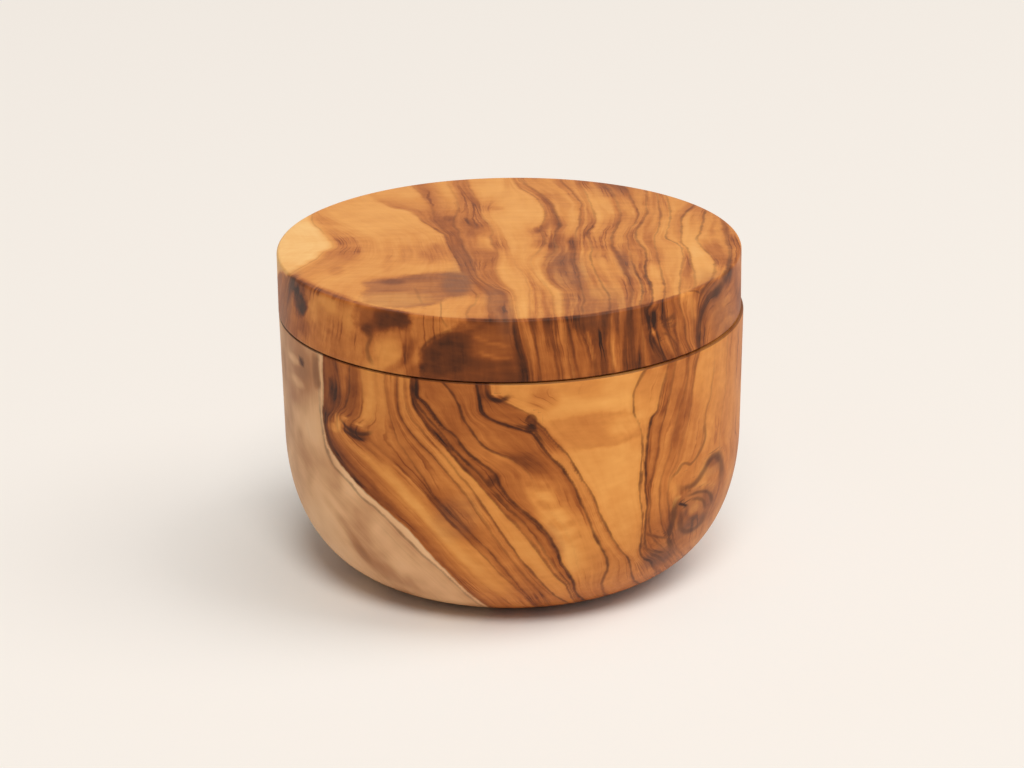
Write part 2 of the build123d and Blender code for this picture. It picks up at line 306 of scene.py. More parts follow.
# Soft patches of the bowl's wood: centre x and z, half width and height, turn in degrees, and
# how much darker
BOWL_PATCHES = [
    (14, 56.5, 5, 1.6, 0, 0.06), (6.4, 54.2, 3, 2.4, 10, 0.14), (17, 52.2, 6, 1.2, 0, -0.06),
    (33, 30, 0.9, 2.4, 10, -0.1), (23, 46.8, 3.4, 2.4, 0, -0.12), (3.7, 50.2, 0.9, 1.2, 10, 0.2),
    (3.8, 48.4, 1.1, 0.8, 0, 0.25), (-2.3, 54.9, 2.3, 0.7, 8, 0.2), (3.4, 40.4, 4.2, 1.8, -20, 0.14),
    (-36.3, 44.4, 0.5, 1.8, 12, -0.22), (-34.8, 45.5, 0.8, 0.35, 8, -0.25),
    (-31.6, 45.2, 1.3, 0.35, 20, -0.2), (-37.4, 42.6, 1.3, 0.9, 0, -0.2), (-14.2, 45, 2.8, 0.6, -48, 0.15),
    (-3.2, 37.2, 0.7, 1.3, 20, 0.15), (-4.6, 36.6, 0.9, 1.2, 0, 0.2), (-19.8, 55, 0.6, 2, 0, 0.15),
    (-15, 31.5, 3, 3.6, -45, 0.08), (36.6, 46.4, 2, 5, 20, 0.07), (34.4, 40.6, 1.6, 3.4, 10, 0.06),
    (9, 22, 1, 3.2, 20, 0.08), (6, 35, 3.6, 2.4, -30, -0.06), (42.4, 31.2, 1.6, 1.1, -20, 0.26),
    (38.2, 18, 3.4, 2.2, 10, 0.17), (41, 19.6, 2.4, 3, 25, 0.05), (37.8, 24, 4, 5, 0, 0.09),
    (38.1, 22.3, 1.1, 1.3, 20, -0.16), (39.4, 19, 7.5, 13, 10, -0.07), (41.6, 24, 1.4, 4, 0, 0.14),
    (34.4, 23, 1, 3, 10, 0.1), (30.6, 12.6, 3.4, 2.2, 0, 0.16), (-45.6, 51, 4, 8, 0, 0.14),
    (-43.6, 34, 3, 4, 30, 0.1), (-36, 27, 5, 2.4, -40, 0.06), (-45.8, 53, 1.3, 1, 0, -0.2),
    (-45, 48.6, 1.4, 1.1, 0, -0.16), (-44.1, 53.8, 0.6, 0.9, 0, 0.3), (-38.6, 15.6, 4.6, 9, 26, -0.18),
    (-45, 24, 3, 9, 10, -0.1), (-18, 50, 7.5, 7, -20, 0.07), (-25, 10.4, 5.4, 2.4, -22, 0.09),
    (-32.4, 43.1, 2.8, 1.3, -6, 0.24), (-33, 24, 4.6, 3, -40, 0.03),
]

# Soft strips in the bowl's wood: the points they run through, half width and how much darker
BOWL_STRIPS = [
    ([(-21.4, 36), (-17.4, 32.6), (-13.4, 28.6), (-9.4, 24.4), (-5.6, 20.4)], 2, 0.1),
    ([(3.4, 36.4), (7.2, 30.4), (10.4, 24.4), (12.8, 17.4), (14.4, 11)], 2.4, -0.12),
    ([(2.6, 37), (5.2, 35), (8.2, 35.4)], 0.8, 0.1),
    ([(4.4, 32.6), (7.4, 30.6), (10.4, 31.2)], 0.8, 0.1),
    ([(6.8, 28), (9.8, 26), (13.2, 27.2)], 0.8, 0.1),
    ([(9, 24), (11.6, 22.8), (14.4, 24.6)], 0.8, 0.08),
    ([(36.7, 24), (36.3, 22.2), (36.8, 20.6), (38, 19.8), (39.2, 20.4)], 0.4, 0.16),
    ([(33.5, 24.4), (33.8, 26.2), (34.6, 27), (35.6, 26.6)], 0.45, -0.2),
    ([(37, 27.3), (39.6, 27.6), (41.6, 26.4), (43, 24)], 0.5, -0.12),
    ([(33.2, 28.4), (32.6, 23.6), (33, 18.6), (34.8, 15), (38, 13.8), (41.4, 15.4), (43.6, 19.6),
      (44.4, 25.4), (43.9, 30.4), (42.4, 31.6)], 1.1, 0.07),
    ([(34.6, 26.4), (34.9, 22.6), (35.9, 19.6), (38.2, 18.2), (40.6, 19.4), (41.4, 22.4), (39.8, 24.8),
      (36.6, 25.6)], 0.7, 0.08),
    ([(-41, 26.6), (-37, 22), (-33.4, 16.8), (-30, 11)], 1, 0.14),
    ([(-40.8, 58), (-40.8, 53), (-40.5, 49)], 0.7, 0.25),
    ([(-34.4, 41.8), (-30, 39.6), (-26, 36.6)], 0.7, 0.1),
]

# Free lines in the bowl's wood: points, ink and half width. Neighbours closer than 3 mm take
# turns between even and odd places in the list.
BOWL_STROKES = [
    ([(-36.2, 45.6), (-35.2, 44.6), (-34.2, 43.7), (-32.6, 43.2), (-30.6, 43.4),
      (-28.4, 44.8)], 0.75, 0.5),
    ([(-35.8, 43.6), (-34.4, 42.7), (-32.8, 42.2), (-31.2, 42.1), (-29.8, 42.7)], 0.75, 0.5),
    ([(40.3, 44), (40.3, 40.5), (40.4, 38), (39.8, 36.2), (38.6, 34.4), (37.2, 33.4), (36.2, 34.1),
      (35.2, 34.1), (34.2, 32.8), (33, 32), (32.3, 29.6)], 0.45, 0.35),
    ([(33.6, 30.6), (35, 28.9), (36.8, 28.2), (38.6, 28.7), (40.2, 30.4), (41.6, 32), (43, 32.2),
      (43.9, 30.6), (44.4, 28), (44.4, 23)], 0.58, 0.85),
    ([(35.4, 26.4), (37, 26.2), (39, 26), (41, 24.8), (42, 22.8), (42.4, 19.6)], 0.55, 0.42),
    ([(36.6, 25.2), (38.6, 24.6), (40.2, 23), (40.8, 19.8)], 0.5, 0.42),
    ([(34.2, 25.6), (35.4, 24.8), (36.8, 23.6)], 1, 0.45),
    ([(36, 27.4), (34.3, 26.6), (33.7, 24.6), (33.5, 22.4), (32.9, 20.2), (32.6, 18), (32.9, 15.6),
      (34.2, 12)], 0.7, 0.9),
    ([(35.8, 23.4), (35.1, 21), (35.2, 18.8), (36.4, 17.2), (38.2, 16.6), (40, 17.6),
      (41.4, 20)], 0.5, 0.9),
    ([(27, 21.2), (30, 18.9), (33, 17.4)], 0.5, 0.4),
    ([(26.8, 17.6), (28.8, 15.6), (32.2, 13.4)], 0.5, 0.4),
    ([(-44.8, 55.2), (-44.3, 54), (-43.6, 52.6)], 0.5, 0.25),
    ([(-5.4, 57.4), (-4.7, 55.3), (-3.4, 54.5), (-1.8, 54.6), (0, 55.9)], 0.75, 0.6),
    ([(2.6, 49), (2.9, 50.4), (3.8, 51.2), (4.7, 50.4), (4.5, 48.9), (3.6, 48)], 0.6, 0.36),
    ([(0, 49.5), (2.2, 48.7), (4.2, 48.2), (5.2, 46.6), (6.8, 44.2)], 0.6, 0.42),
    ([(-14.6, 32.4), (-11.6, 28.6), (-8.2, 24)], 0.3, 0.3),
]

# Closed figures in the bowl's wood: outline as points (x, z), tone, greyness and the softness of
# the edge
BOWL_FIGURES = [
    ([(7.4, 49.6), (12, 50.3), (18, 50.3), (23, 49.9), (25, 48.6), (26.2, 45.8), (26.3, 43.7), (23, 42.8),
      (20, 42.5), (15, 42.8), (11.8, 43.1), (10.6, 44), (9.2, 46)], 0.42, 0, 0.45),
]

# Greyish parts of the bowl's wood, written as the soft patches are, with how grey at the end. The
# wide one low on the right, at (40, 16), is a painted reflection of the pale floor.
BOWL_DUSK = [
    (-12, 28, 4, 6, -40, 0.35), (42.2, 30.6, 2.6, 2.6, 0, 0.5), (37.6, 18, 4.4, 3, 0, 0.7),
    (39.4, 22, 4.6, 6, 15, 0.5), (40, 16, 8, 12, 20, 0.25), (30.6, 12.6, 4, 3, 0, 0.6),
    (8.6, 23, 1.4, 4, 20, 0.3),
]

# Grain of the lid, written as the bowl's is. The second number of a point is the place towards the
# back on the lid's top, and on its side it goes on down from the rim, so from 50 at the back to -50
# at the front rim and -63 at the bottom of the front.
LID_LINES = [
    ([(-45, 34), (-43.8, 28), (-43.5, 24), (-43.6, 20), (-43.2, 17), (-42.2, 14), (-41, 11), (-40, 8),
      (-39, 5), (-38.2, 2.5), (-38, 0), (-38.6, -2), (-40, -4), (-40.6, -6), (-41, -8), (-42, -10),
      (-42.8, -12), (-44, -14), (-46, -18), (-48.5, -22), (-52, -30), (-56, -64)],
     [(34, 12, 35), (20, 6, 42), (14, 2, 36), (8, 2, 40), (4, 4, 52), (0, 2, 46), (-4, 2, 48), (-9, 2, 40),
      (-16, 10, 36), (-48, 20, 36), (-51, 45, 42)],
     [(34, 10), (24, 30), (12, 30), (8, 10), (0, 10), (-6, 25), (-14, 30), (-20, 0)], 0.5, 0.7),
    ([(-44.2, 34), (-43, 26), (-41.4, 21.5), (-38.8, 17), (-36, 13), (-33.4, 9), (-31.4, 5), (-30.6, 0),
      (-30.6, -5), (-31.6, -10), (-33.6, -14), (-36.5, -18), (-39.4, -22), (-42, -28), (-44, -36),
      (-46, -64)],
     [(34, 35, 25), (20, 42, 22), (14, 36, 22), (6, 45, 24), (0, 42, 30), (-5, 42, 30), (-12, 38, 28),
      (-20, 34, 25), (-46, 34, 25), (-51, 42, 34), (-64, 46, 38)],
     [(34, 0), (-64, 0)], 0.5, 1.8),
    ([(-32, 38), (-29.5, 33), (-27.5, 30), (-26, 27.4), (-22, 24.6), (-20.3, 21), (-19.5, 18), (-18, 15),
      (-16.5, 12), (-15.5, 9.5), (-14, 7), (-13.6, 4), (-13.3, 1), (-12.8, -2), (-12.3, -5), (-11.7, -8),
      (-11, -11), (-10.6, -14), (-10.2, -17), (-9.8, -20), (-9.1, -24), (-8.5, -26), (-8, -30), (-7, -34),
      (-7.2, -38), (-8.5, -42), (-9, -46), (-8.8, -50), (-8.4, -56), (-8, -64)],
     [(38, 22, 30), (30, 20, 44), (25, 20, 50), (20, 22, 52), (15, 24, 56), (10, 28, 60), (0, 40, 68),
      (-8, 42, 68), (-15, 28, 70), (-20, 30, 70), (-26, 50, 64), (-32, 50, 50), (-36, 30, 34),
      (-47, 32, 36), (-51, 36, 62), (-64, 40, 66)],
     [(38, 0), (24, 10), (14, 40), (4, 50), (-8, 55), (-20, 40), (-30, 20), (-38, 30), (-46, 35),
      (-50, 10)], 0.7, 0.5),
    ([(-22, 44), (-20, 38), (-18, 30), (-17, 24), (-16.5, 18), (-15.2, 13), (-14, 9.5), (-12.8, 7),
      (-12.4, 4), (-12, 1), (-11.5, -2), (-11, -5), (-10.4, -8), (-9.8, -11), (-9.4, -14), (-9, -18),
      (-8.2, -22), (-7.4, -25), (-6.2, -28), (-5, -32), (-4.4, -36), (-4.6, -42), (-4.4, -48), (-4.2, -56),
      (-4, -64)],
     [(44, 24, 50), (36, 26, 52), (30, 36, 52), (24, 50, 56), (18, 56, 62), (12, 60, 56), (6, 66, 60),
      (-20, 68, 64), (-26, 62, 62), (-32, 46, 64), (-38, 34, 60), (-47, 40, 58), (-51, 68, 64),
      (-64, 70, 66)],
     [(44, 20), (24, 20), (14, 20), (6, 0), (-28, 0), (-34, 20), (-64, 20)], 0.6, 0.7),
    ([(-14, 44), (-12.7, 38), (-11.8, 32), (-11.4, 27), (-11.8, 22), (-12.4, 18), (-12.2, 14), (-11.3, 10),
      (-11, 6), (-10.4, 2), (-10, -2), (-9.2, -6), (-8.5, -10), (-8, -14), (-7.6, -18), (-7, -22),
      (-5.6, -25.5), (-3.6, -29), (-1.2, -31.8), (-0.3, -35), (0, -42), (0.3, -50), (0.6, -52), (1, -55.4),
      (2, -59.4), (2.6, -62.3), (3, -64)],
     [(44, 22, 42), (38, 22, 42), (30, 24, 42), (24, 46, 48), (18, 60, 50), (12, 60, 50), (6, 72, 52),
      (-6, 72, 54), (-14, 68, 54), (-22, 66, 50), (-28, 62, 42), (-34, 62, 30), (-44, 62, 30),
      (-50, 64, 45), (-53, 72, 66), (-64, 70, 66)],
     [(44, 10), (30, 20), (18, 40), (10, 20), (-6, 25), (-24, 20), (-34, 10), (-48, 15), (-52, 75),
      (-64, 75)], 0.8, 0.6),
    ([(-9.8, 48), (-9.5, 44), (-8.6, 39), (-7.5, 33), (-6.8, 28), (-6.5, 24), (-6, 20), (-5, 16),
      (-4.1, 12), (-3.8, 9), (-4.2, 5), (-4, 1), (-3, -3), (-2.6, -8), (-3, -12), (-3.2, -16), (-2.4, -22),
      (-1.4, -27), (0.2, -31), (0.9, -36), (1.2, -42), (1.6, -48), (2.6, -53), (3.6, -58), (4.2, -64)],
     [(48, 56, 22), (40, 56, 22), (32, 52, 26), (26, 52, 40), (20, 52, 30), (14, 50, 30), (8, 40, 34),
      (3, 24, 50), (-2, 24, 52), (-6, 50, 42), (-12, 52, 28), (-18, 50, 20), (-26, 48, 24), (-32, 42, 20),
      (-40, 30, 18), (-48, 32, 20), (-52, 64, 50), (-58, 68, 50), (-64, 68, 55)],
     [(48, 15), (20, 20), (8, 20), (0, 30), (-8, 10), (-24, 15), (-34, 10), (-50, 15),
      (-56, 40)], 0.7, 0.6),
    ([(-1, 48), (-0.9, 42), (-1.6, 34), (-3, 29), (-4, 26), (-3.6, 20), (-2.4, 14), (-1.4, 9), (-0.6, 4),
      (0.2, -2), (0.6, -8), (1, -14), (2.4, -20), (3.4, -26), (3.8, -32), (3.8, -40), (3.8, -48), (5, -54),
      (6.2, -64)],
     [(48, 20, 28), (40, 20, 26), (34, 24, 22), (28, 38, 26), (22, 34, 24), (14, 26, 20), (6, 30, 20),
      (0, 36, 22), (-8, 34, 24), (-14, 28, 30), (-20, 30, 38), (-30, 30, 42), (-36, 22, 44), (-48, 24, 45),
      (-52, 56, 62), (-64, 60, 62)],
     [(48, 0), (-8, 0), (-24, 15), (-50, 10), (-56, 25)], 0.5, 0.7),
    ([(0.2, 50), (1, 47), (2, 42), (4, 38), (5.5, 35), (6.6, 31), (7.3, 27), (7.7, 23), (7.6, 18),
      (6.9, 14), (6.6, 11), (7, 7), (7.4, 3), (7, -1), (6, -5), (4.6, -9), (4.2, -12), (5.4, -20),
      (6.6, -26), (7.9, -31), (8.6, -36), (8.8, -44), (8.8, -50), (9.4, -55), (10.4, -62), (10.6, -64)],
     [(50, 30, 40), (42, 26, 50), (34, 20, 54), (26, 20, 54), (18, 20, 50), (13, 26, 50), (9, 44, 42),
      (5, 46, 42), (0, 42, 50), (-6, 34, 38), (-12, 26, 22), (-20, 34, 18), (-30, 45, 16), (-40, 46, 14),
      (-49, 48, 18), (-52, 68, 34), (-64, 66, 36)],
     [(50, 10), (40, 25), (16, 30), (8, 40), (0, 30), (-8, 10), (-40, 15), (-50, 20),
      (-56, 30)], 0.6, 0.5),
    ([(2.2, 48), (3.5, 44), (5.5, 39.5), (7, 36), (8.3, 32), (9.3, 28), (9.6, 24), (10.2, 20), (10.8, 16),
      (10.8, 13), (10, 9), (9.6, 5), (9.4, 1), (9.8, -2), (9.6, -5), (8, -10), (7, -14), (7.2, -20),
      (8.2, -26), (9.5, -29), (10.6, -32), (10.9, -36), (10.9, -40), (10.6, -47), (10.8, -50), (11.5, -55),
      (12.6, -62), (12.8, -64)],
     [(48, 44, 50), (40, 56, 42), (32, 56, 34), (24, 52, 32), (18, 50, 40), (14, 56, 40), (8, 48, 40),
      (2, 56, 52), (-4, 52, 52), (-10, 32, 54), (-22, 26, 52), (-48, 24, 52), (-51, 40, 70),
      (-64, 40, 72)],
     [(48, 20), (38, 35), (28, 35), (20, 50), (14, 70), (8, 35), (1, 65), (-5, 40), (-12, 10), (-48, 10),
      (-52, 30), (-64, 30)], 1.4, 0.5),
    ([(11.6, 46), (13.5, 40), (15, 33), (16, 28), (15.5, 24), (15.3, 16), (14.5, 10), (14, 4), (14, -2),
      (13.6, -8), (13.5, -12), (13.9, -18), (14.2, -24), (14.5, -30), (15, -36), (14.4, -44), (14.3, -49),
      (15.4, -52.5), (16.5, -55), (17, -59), (17.2, -64)],
     [(46, 40, 50), (38, 36, 46), (30, 32, 42), (24, 26, 42), (16, 26, 44), (10, 40, 46), (4, 58, 40),
      (-2, 60, 40), (-8, 54, 44), (-20, 55, 42), (-28, 50, 46), (-47, 50, 44), (-51, 66, 52),
      (-64, 62, 66)],
     [(46, 30), (16, 40), (6, 30), (-10, 40), (-26, 50), (-44, 45), (-52, 35), (-64, 40)], 0.6, 0.4),
    ([(15.5, 45), (16.8, 38), (17.4, 32), (18, 27), (18.6, 22), (18.8, 18), (18, 12), (16.9, 8), (17, 2),
      (17.4, -4), (17, -8), (17, -12), (17.6, -18), (18.2, -24), (19, -28), (19.8, -33), (20.2, -38),
      (20, -44), (20, -50), (20.5, -58), (20.8, -64)],
     [(45, 42, 50), (38, 36, 30), (32, 28, 22), (26, 34, 20), (20, 54, 20), (14, 54, 30), (8, 56, 34),
      (2, 46, 34), (-4, 46, 40), (-12, 42, 30), (-24, 40, 36), (-34, 42, 44), (-48, 45, 46), (-51, 66, 50),
      (-64, 70, 50)],
     [(45, 20), (24, 30), (14, 35), (0, 30), (-12, 45), (-50, 45), (-60, 30)], 0.6, 0.4),
    ([(21, 44), (22.8, 38), (23.5, 32), (24, 26), (24.3, 20), (23.6, 14), (22.5, 8), (21.8, 2), (21.8, -2),
      (22.4, -7), (23, -12), (23.8, -20), (24.5, -26), (24.8, -32), (24.6, -38), (24.3, -43), (24.6, -50),
      (25, -58), (25.4, -64)],
     [(44, 50, 56), (38, 42, 56), (32, 40, 54), (26, 42, 52), (20, 42, 46), (12, 46, 42), (6, 54, 42),
      (0, 54, 44), (-6, 42, 54), (-20, 40, 58), (-30, 44, 50), (-47, 46, 48), (-51, 70, 74),
      (-64, 70, 70)],
     [(44, 30), (20, 35), (8, 60), (-2, 60), (-12, 30), (-40, 35), (-52, 50)], 1, 0.45),
    ([(25.6, 42), (26.5, 38), (27.3, 30), (27.8, 26), (28.3, 21), (27.5, 15), (26, 9), (25.2, 3),
      (25.2, -3), (25.6, -9), (25.8, -16), (26.6, -24), (27.2, -30), (26.8, -36), (26.3, -42), (26.8, -50),
      (27, -58), (27.4, -64)],
     [(42, 60, 45), (34, 56, 38), (28, 42, 40), (20, 38, 44), (12, 36, 40), (6, 34, 42), (0, 38, 48),
      (-6, 46, 52), (-12, 50, 46), (-20, 44, 40), (-28, 40, 40), (-36, 40, 44), (-44, 44, 44),
      (-49, 60, 42), (-56, 60, 42), (-64, 60, 55)],
     [(42, 30), (30, 45), (18, 45), (8, 20), (-10, 25), (-22, 70), (-36, 70), (-44, 40),
      (-52, 40)], 0.6, 0.4),
    ([(29.6, 44), (30.5, 40), (30.6, 34), (30.2, 28), (30.3, 22), (29.4, 18), (28, 12), (27, 6), (27.5, 0),
      (28.6, -5), (28.8, -10), (28.2, -17), (28.3, -24), (28.8, -28), (29, -34), (28.6, -40),
      (27.6, -42.5), (27.8, -45), (28.4, -47), (29.6, -49.4), (31, -51.2), (32.4, -54), (34, -58),
      (36, -64)],
     [(44, 45, 42), (36, 44, 34), (28, 46, 38), (20, 50, 40), (12, 54, 44), (6, 54, 42), (0, 52, 38),
      (-6, 58, 38), (-12, 52, 34), (-20, 44, 28), (-36, 44, 28), (-41, 56, 50), (-46, 66, 60),
      (-52, 62, 58)],
     [(44, 35), (28, 40), (16, 50), (6, 60), (-4, 55), (-10, 80), (-38, 85), (-42, 100),
      (-54, 100)], 0.85, 0.35),
    ([(32.6, 40), (33, 34), (33, 26), (33, 20), (32.6, 14), (32, 8), (31, 4), (30.8, 0), (31, -5),
      (31.2, -10), (31.4, -18), (31.6, -24), (31.8, -30), (31.4, -36), (31.2, -41), (32.4, -46),
      (34.4, -50), (36.4, -56), (38, -64)],
     [(40, 42, 44), (32, 42, 42), (24, 36, 30), (16, 34, 28), (8, 42, 28), (0, 46, 34), (-8, 40, 40),
      (-20, 28, 42), (-48, 30, 42), (-51, 58, 56), (-64, 56, 56)],
     [(40, 35), (24, 45), (8, 50), (0, 35), (-10, 35), (-20, 50), (-36, 55), (-42, 70),
      (-52, 70)], 0.6, 0.4),
    ([(34.6, 38), (35, 32), (35.3, 24), (35, 18), (34.5, 12), (33.8, 7), (33.6, 3), (34.5, 1), (35.8, -1),
      (36.6, -4), (36.6, -10), (36, -16), (35.4, -22), (35, -28), (34.6, -33), (34.5, -37.3),
      (35.6, -39.9), (36, -43.7), (37, -45.6), (39, -50), (41, -56), (43, -64)],
     [(38, 46, 40), (30, 42, 34), (22, 32, 28), (14, 30, 30), (8, 30, 30), (3, 36, 28), (-2, 30, 26),
      (-8, 24, 46), (-14, 22, 48), (-26, 24, 42), (-48, 28, 36), (-51, 56, 30), (-56, 60, 42),
      (-62, 60, 50)],
     [(38, 30), (20, 40), (8, 30), (2, 60), (-4, 50), (-10, 30), (-24, 40), (-34, 60),
      (-46, 70)], 0.6, 0.35),
    ([(41.5, 30), (40.5, 26), (39, 22), (37.8, 18), (37.3, 14), (37, 8), (36.8, 4), (36.6, 1), (37, -1.5),
      (37.6, -4), (38, -8), (38, -14), (38.3, -20), (38.2, -26), (37.8, -31), (37.4, -36), (37.6, -42),
      (39.4, -48), (42, -60)],
     [(30, 46, 40), (22, 40, 34), (14, 38, 26), (6, 36, 20), (0, 32, 20), (-4, 32, 18), (-10, 54, 18),
      (-18, 48, 18), (-24, 40, 22), (-30, 34, 32), (-36, 30, 34), (-44, 40, 40)],
     [(30, 50), (24, 65), (8, 65), (2, 40), (-4, 50), (-18, 45), (-28, 20), (-36, 20)], 0.7, 0.35),
    ([(45, 26), (43, 22), (42.2, 16), (41.5, 10), (40.8, 6), (40.2, 3), (40.2, 0), (41, -4), (42.4, -9),
      (43, -14), (42.6, -20), (41.6, -25), (40.4, -28.5), (39.2, -31.5), (38.6, -35), (38.3, -42),
      (38.9, -46), (41, -54), (43, -60)],
     [(26, 40, 45), (18, 36, 44), (10, 30, 36), (4, 24, 30), (-2, 18, 40), (-8, 18, 46), (-14, 20, 42),
      (-20, 22, 42), (-26, 34, 56), (-32, 40, 62), (-42, 44, 62)],
     [(26, 60), (14, 65), (4, 50), (0, 20), (-6, 50), (-14, 40), (-22, 30), (-30, 50)], 0.7, 0.4),
    ([(46.5, 14), (46.6, 6), (46.5, 2), (46.8, -4), (46.4, -10), (46, -15), (45.3, -20), (43.5, -26),
      (41.5, -30), (39.8, -34), (39, -38), (38.8, -42), (39.4, -46), (41.6, -54), (44, -60)],
     [(14, 45, 45), (6, 42, 45), (-2, 46, 50), (-8, 42, 50), (-14, 48, 48), (-20, 50, 48), (-26, 60, 50),
      (-34, 62, 52), (-44, 60, 50)],
     [(14, 30), (2, 50), (-6, 60), (-13, 95), (-42, 100), (-50, 100)], 1.5, 0.4),
]

# Soft patches of the lid's wood
LID_PATCHES = [
    (-35.4, 4.4, 2.6, 2.6, 20, 0.05), (-34, -5, 2.2, 4.5, 0, 0.1), (-36.5, -17, 1.6, 3, 0, 0.1),
    (-40, 18, 1.6, 4, 35, 0.08), (-22.2, -6, 1.2, 5, 0, 0.08), (-16.5, -6, 2.4, 6, 0, 0.12),
    (-26, -12, 1.2, 6, 0, 0.06), (-13.5, 19, 1.2, 2, 0, 0.12), (-18, 40, 2.2, 9, 8, 0.09),
    (-8.6, 34, 2.4, 12, 5, 0.08), (-8.4, 14, 2.4, 7, 0, 0.06), (-3, 26, 1.6, 1.4, 0, 0.14),
    (-8.6, 5, 1.4, 6, 5, 0.08), (5.6, 9.6, 0.8, 2.4, 0, 0.2), (6, 0, 2, 3, 0, 0.12),
    (13.4, 0, 1.2, 4, 0, 0.1), (-24.4, -24.6, 2.4, 1.8, 0, 0.16), (-20, -22.4, 9, 2.6, 8, 0.1),
    (-11.6, -27.5, 3, 6, 0, 0.12), (-23.6, -36, 7.4, 4.8, 0, -0.2), (-24.4, -30.4, 3, 0.8, 0, 0.1),
    (-24, -45, 3.8, 2.2, -24, 0.12), (-39, -34, 2.4, 4, 42, -0.14), (-34.5, -40.5, 2.2, 4.5, 42, -0.1),
    (-29.8, -41, 1.8, 3, 0, -0.12), (-3.6, -54.8, 4.4, 3.6, 0, -0.13), (11, -56, 9, 6, 0, -0.07),
    (46.4, -26, 3, 10, 20, -0.12), (-10, -50.6, 3, 0.8, 0, -0.1), (-13, -55.6, 4.8, 4, 20, 0.1),
    (-26, -52.4, 3.6, 3.6, 20, -0.17), (-21, -53, 1.2, 4, 0, 0.1), (-19.6, -58, 1.8, 1.4, 0, 0.16),
    (-45.8, -21.6, 0.9, 3, -20, 0.25), (-43, -35, 0.9, 3, 20, 0.12), (28.9, -43.6, 1, 2.2, 0, 0.25),
    (28.8, -46.4, 0.6, 0.7, 0, -0.3), (37.4, -35.6, 1.1, 3.2, 10, -0.14), (34.8, -35, 1, 1.4, 0, -0.1),
    (31.8, -48, 1.6, 1.2, 0, -0.1), (32.4, -43.4, 1.6, 1.6, 0, 0.06),
]

# Soft strips in the lid's wood. The first, along the left front of the top edge, is partly the
# wood's own dark band and partly painted shade over the rounded edge's highlight.
LID_STRIPS = [
    ([(-47.4, -18.4), (-44, -23.2), (-41, -27), (-38, -30.6), (-35, -33.9), (-30, -38.4)], 1.3, 0.22),
    ([(-31, -43), (-29, -46.4), (-29.4, -49.6), (-28, -54)], 1.1, 0.1),
    ([(-26.8, -56), (-23, -55.4), (-20.4, -53), (-19.6, -49.6)], 0.9, 0.12),
    ([(-22, -45), (-15, -47.6), (-8, -49), (0, -49.6), (8, -49.2), (16, -47.4), (24, -43.6)], 0.6, 0.06),
    ([(-41, -32), (-38, -37), (-34, -43), (-30, -49)], 0.8, 0.08),
    ([(-8.4, -52.4), (-4.4, -54.4), (0, -55.4)], 0.35, -0.12),
    ([(-7.4, -55.8), (-3.4, -57.6), (0.6, -58)], 0.35, -0.12),
    ([(15.2, -50), (15.8, -53), (16.8, -57)], 0.4, -0.25),
    ([(20.1, -45), (20.3, -51), (20.9, -58)], 0.35, -0.2),
]

# Free lines in the lid's wood
LID_STROKES = [
    ([(-31, -42.6), (-29.8, -45.2), (-28.7, -47.2), (-29.5, -49), (-29.2, -51.2),
      (-28, -54.4)], 0.42, 0.55),
    ([(-14.4, -36), (-14.2, -42), (-14.1, -47), (-13.4, -49.2), (-12, -51)], 0.32, 0.22),
    ([(-10.6, -50.6), (-13.6, -51.2), (-15.8, -51.7), (-17.8, -53), (-19, -55.6)], 0.4, 0.45),
    ([(-20.4, -26.6), (-19.4, -31), (-18.8, -35), (-17.8, -40)], 0.16, 0.4),
    ([(26.9, -40.4), (27.5, -43.6), (28.4, -46), (28.3, -48.6), (29.8, -52)], 0.8, 0.34),
    ([(29.4, -45), (30.2, -48), (31.8, -51.6)], 0.8, 0.34),
    ([(29.4, -42.2), (31, -42.8), (32.4, -41.8), (33.8, -39.6)], 0.5, 0.4),
    ([(30.4, -46.2), (31.8, -45.4), (33.4, -46), (34.4, -47.4)], 0.4, 0.4),
    ([(30.2, -44.4), (31.8, -43.9), (33.4, -42.6), (34.2, -41)], 0.35, 0.4),
    ([(36.2, -33), (37.8, -32.1), (39.6, -31.6)], 0.5, 0.3),
]

# Closed figures in the lid's wood
LID_FIGURES = [
    ([(-30.6, -24.6), (-28.6, -23), (-25.5, -22.2), (-23, -21.4), (-21.6, -20), (-18, -19.2), (-14, -18.6),
      (-10.2, -18.4), (-9.4, -22), (-8.6, -26), (-7.8, -30), (-7.6, -33), (-9.6, -34), (-12, -35),
      (-13.6, -36.4), (-15, -38.8), (-17.4, -40.6), (-20.5, -41.6), (-24, -41.4), (-27.6, -40),
      (-30, -38.4), (-30.8, -34), (-30.2, -28)], 0.52, 0.5, 1.3),
    ([(-31.6, -37.2), (-28.4, -39.4), (-24.6, -41.8), (-21.4, -43.6), (-20.4, -45), (-20.5, -47.6),
      (-21.6, -48.4), (-24, -47.6), (-27, -47), (-29.4, -46.6), (-31.2, -43.6), (-32, -40)], 0.8, 0, 1.1),
    ([(-18.6, -56), (-18, -53.6), (-16, -51.8), (-13.6, -51.2), (-11.4, -50.2), (-8.4, -49.6), (-5, -49.8),
      (-1.6, -50.4), (-0.6, -52), (0.2, -56), (1, -60), (1.2, -66), (-18, -66), (-18.4, -60)], 0.84, 0, 1),
    ([(-45.6, -23), (-44.4, -24.6), (-43.3, -27), (-42.5, -29.6), (-42.3, -31.4), (-43, -32.2),
      (-44.1, -31.2), (-44.9, -29), (-45.5, -26)], 0.97, 0.2, 0.55),
]

# Greyish parts of the lid's wood
LID_DUSK = [
    (-9.5, -14, 2.2, 12, 6, 0.4), (-2.4, -40, 2.6, 12, 8, 0.6), (-11.4, -26, 3.4, 8.4, 0, 1.1),
    (-12.4, -20.4, 2.6, 2, 0, 0.9), (12, -18, 4, 14, 5, 0.6), (24, -14, 1.6, 9, 6, 0.45),
    (23, 40, 4, 6, -25, 0.25), (45.5, -34, 4.5, 14, 20, 0.45), (-48.5, -26, 2.5, 10, -20, 0.7),
    (17, -38, 7, 10, 0, 0.4),
]
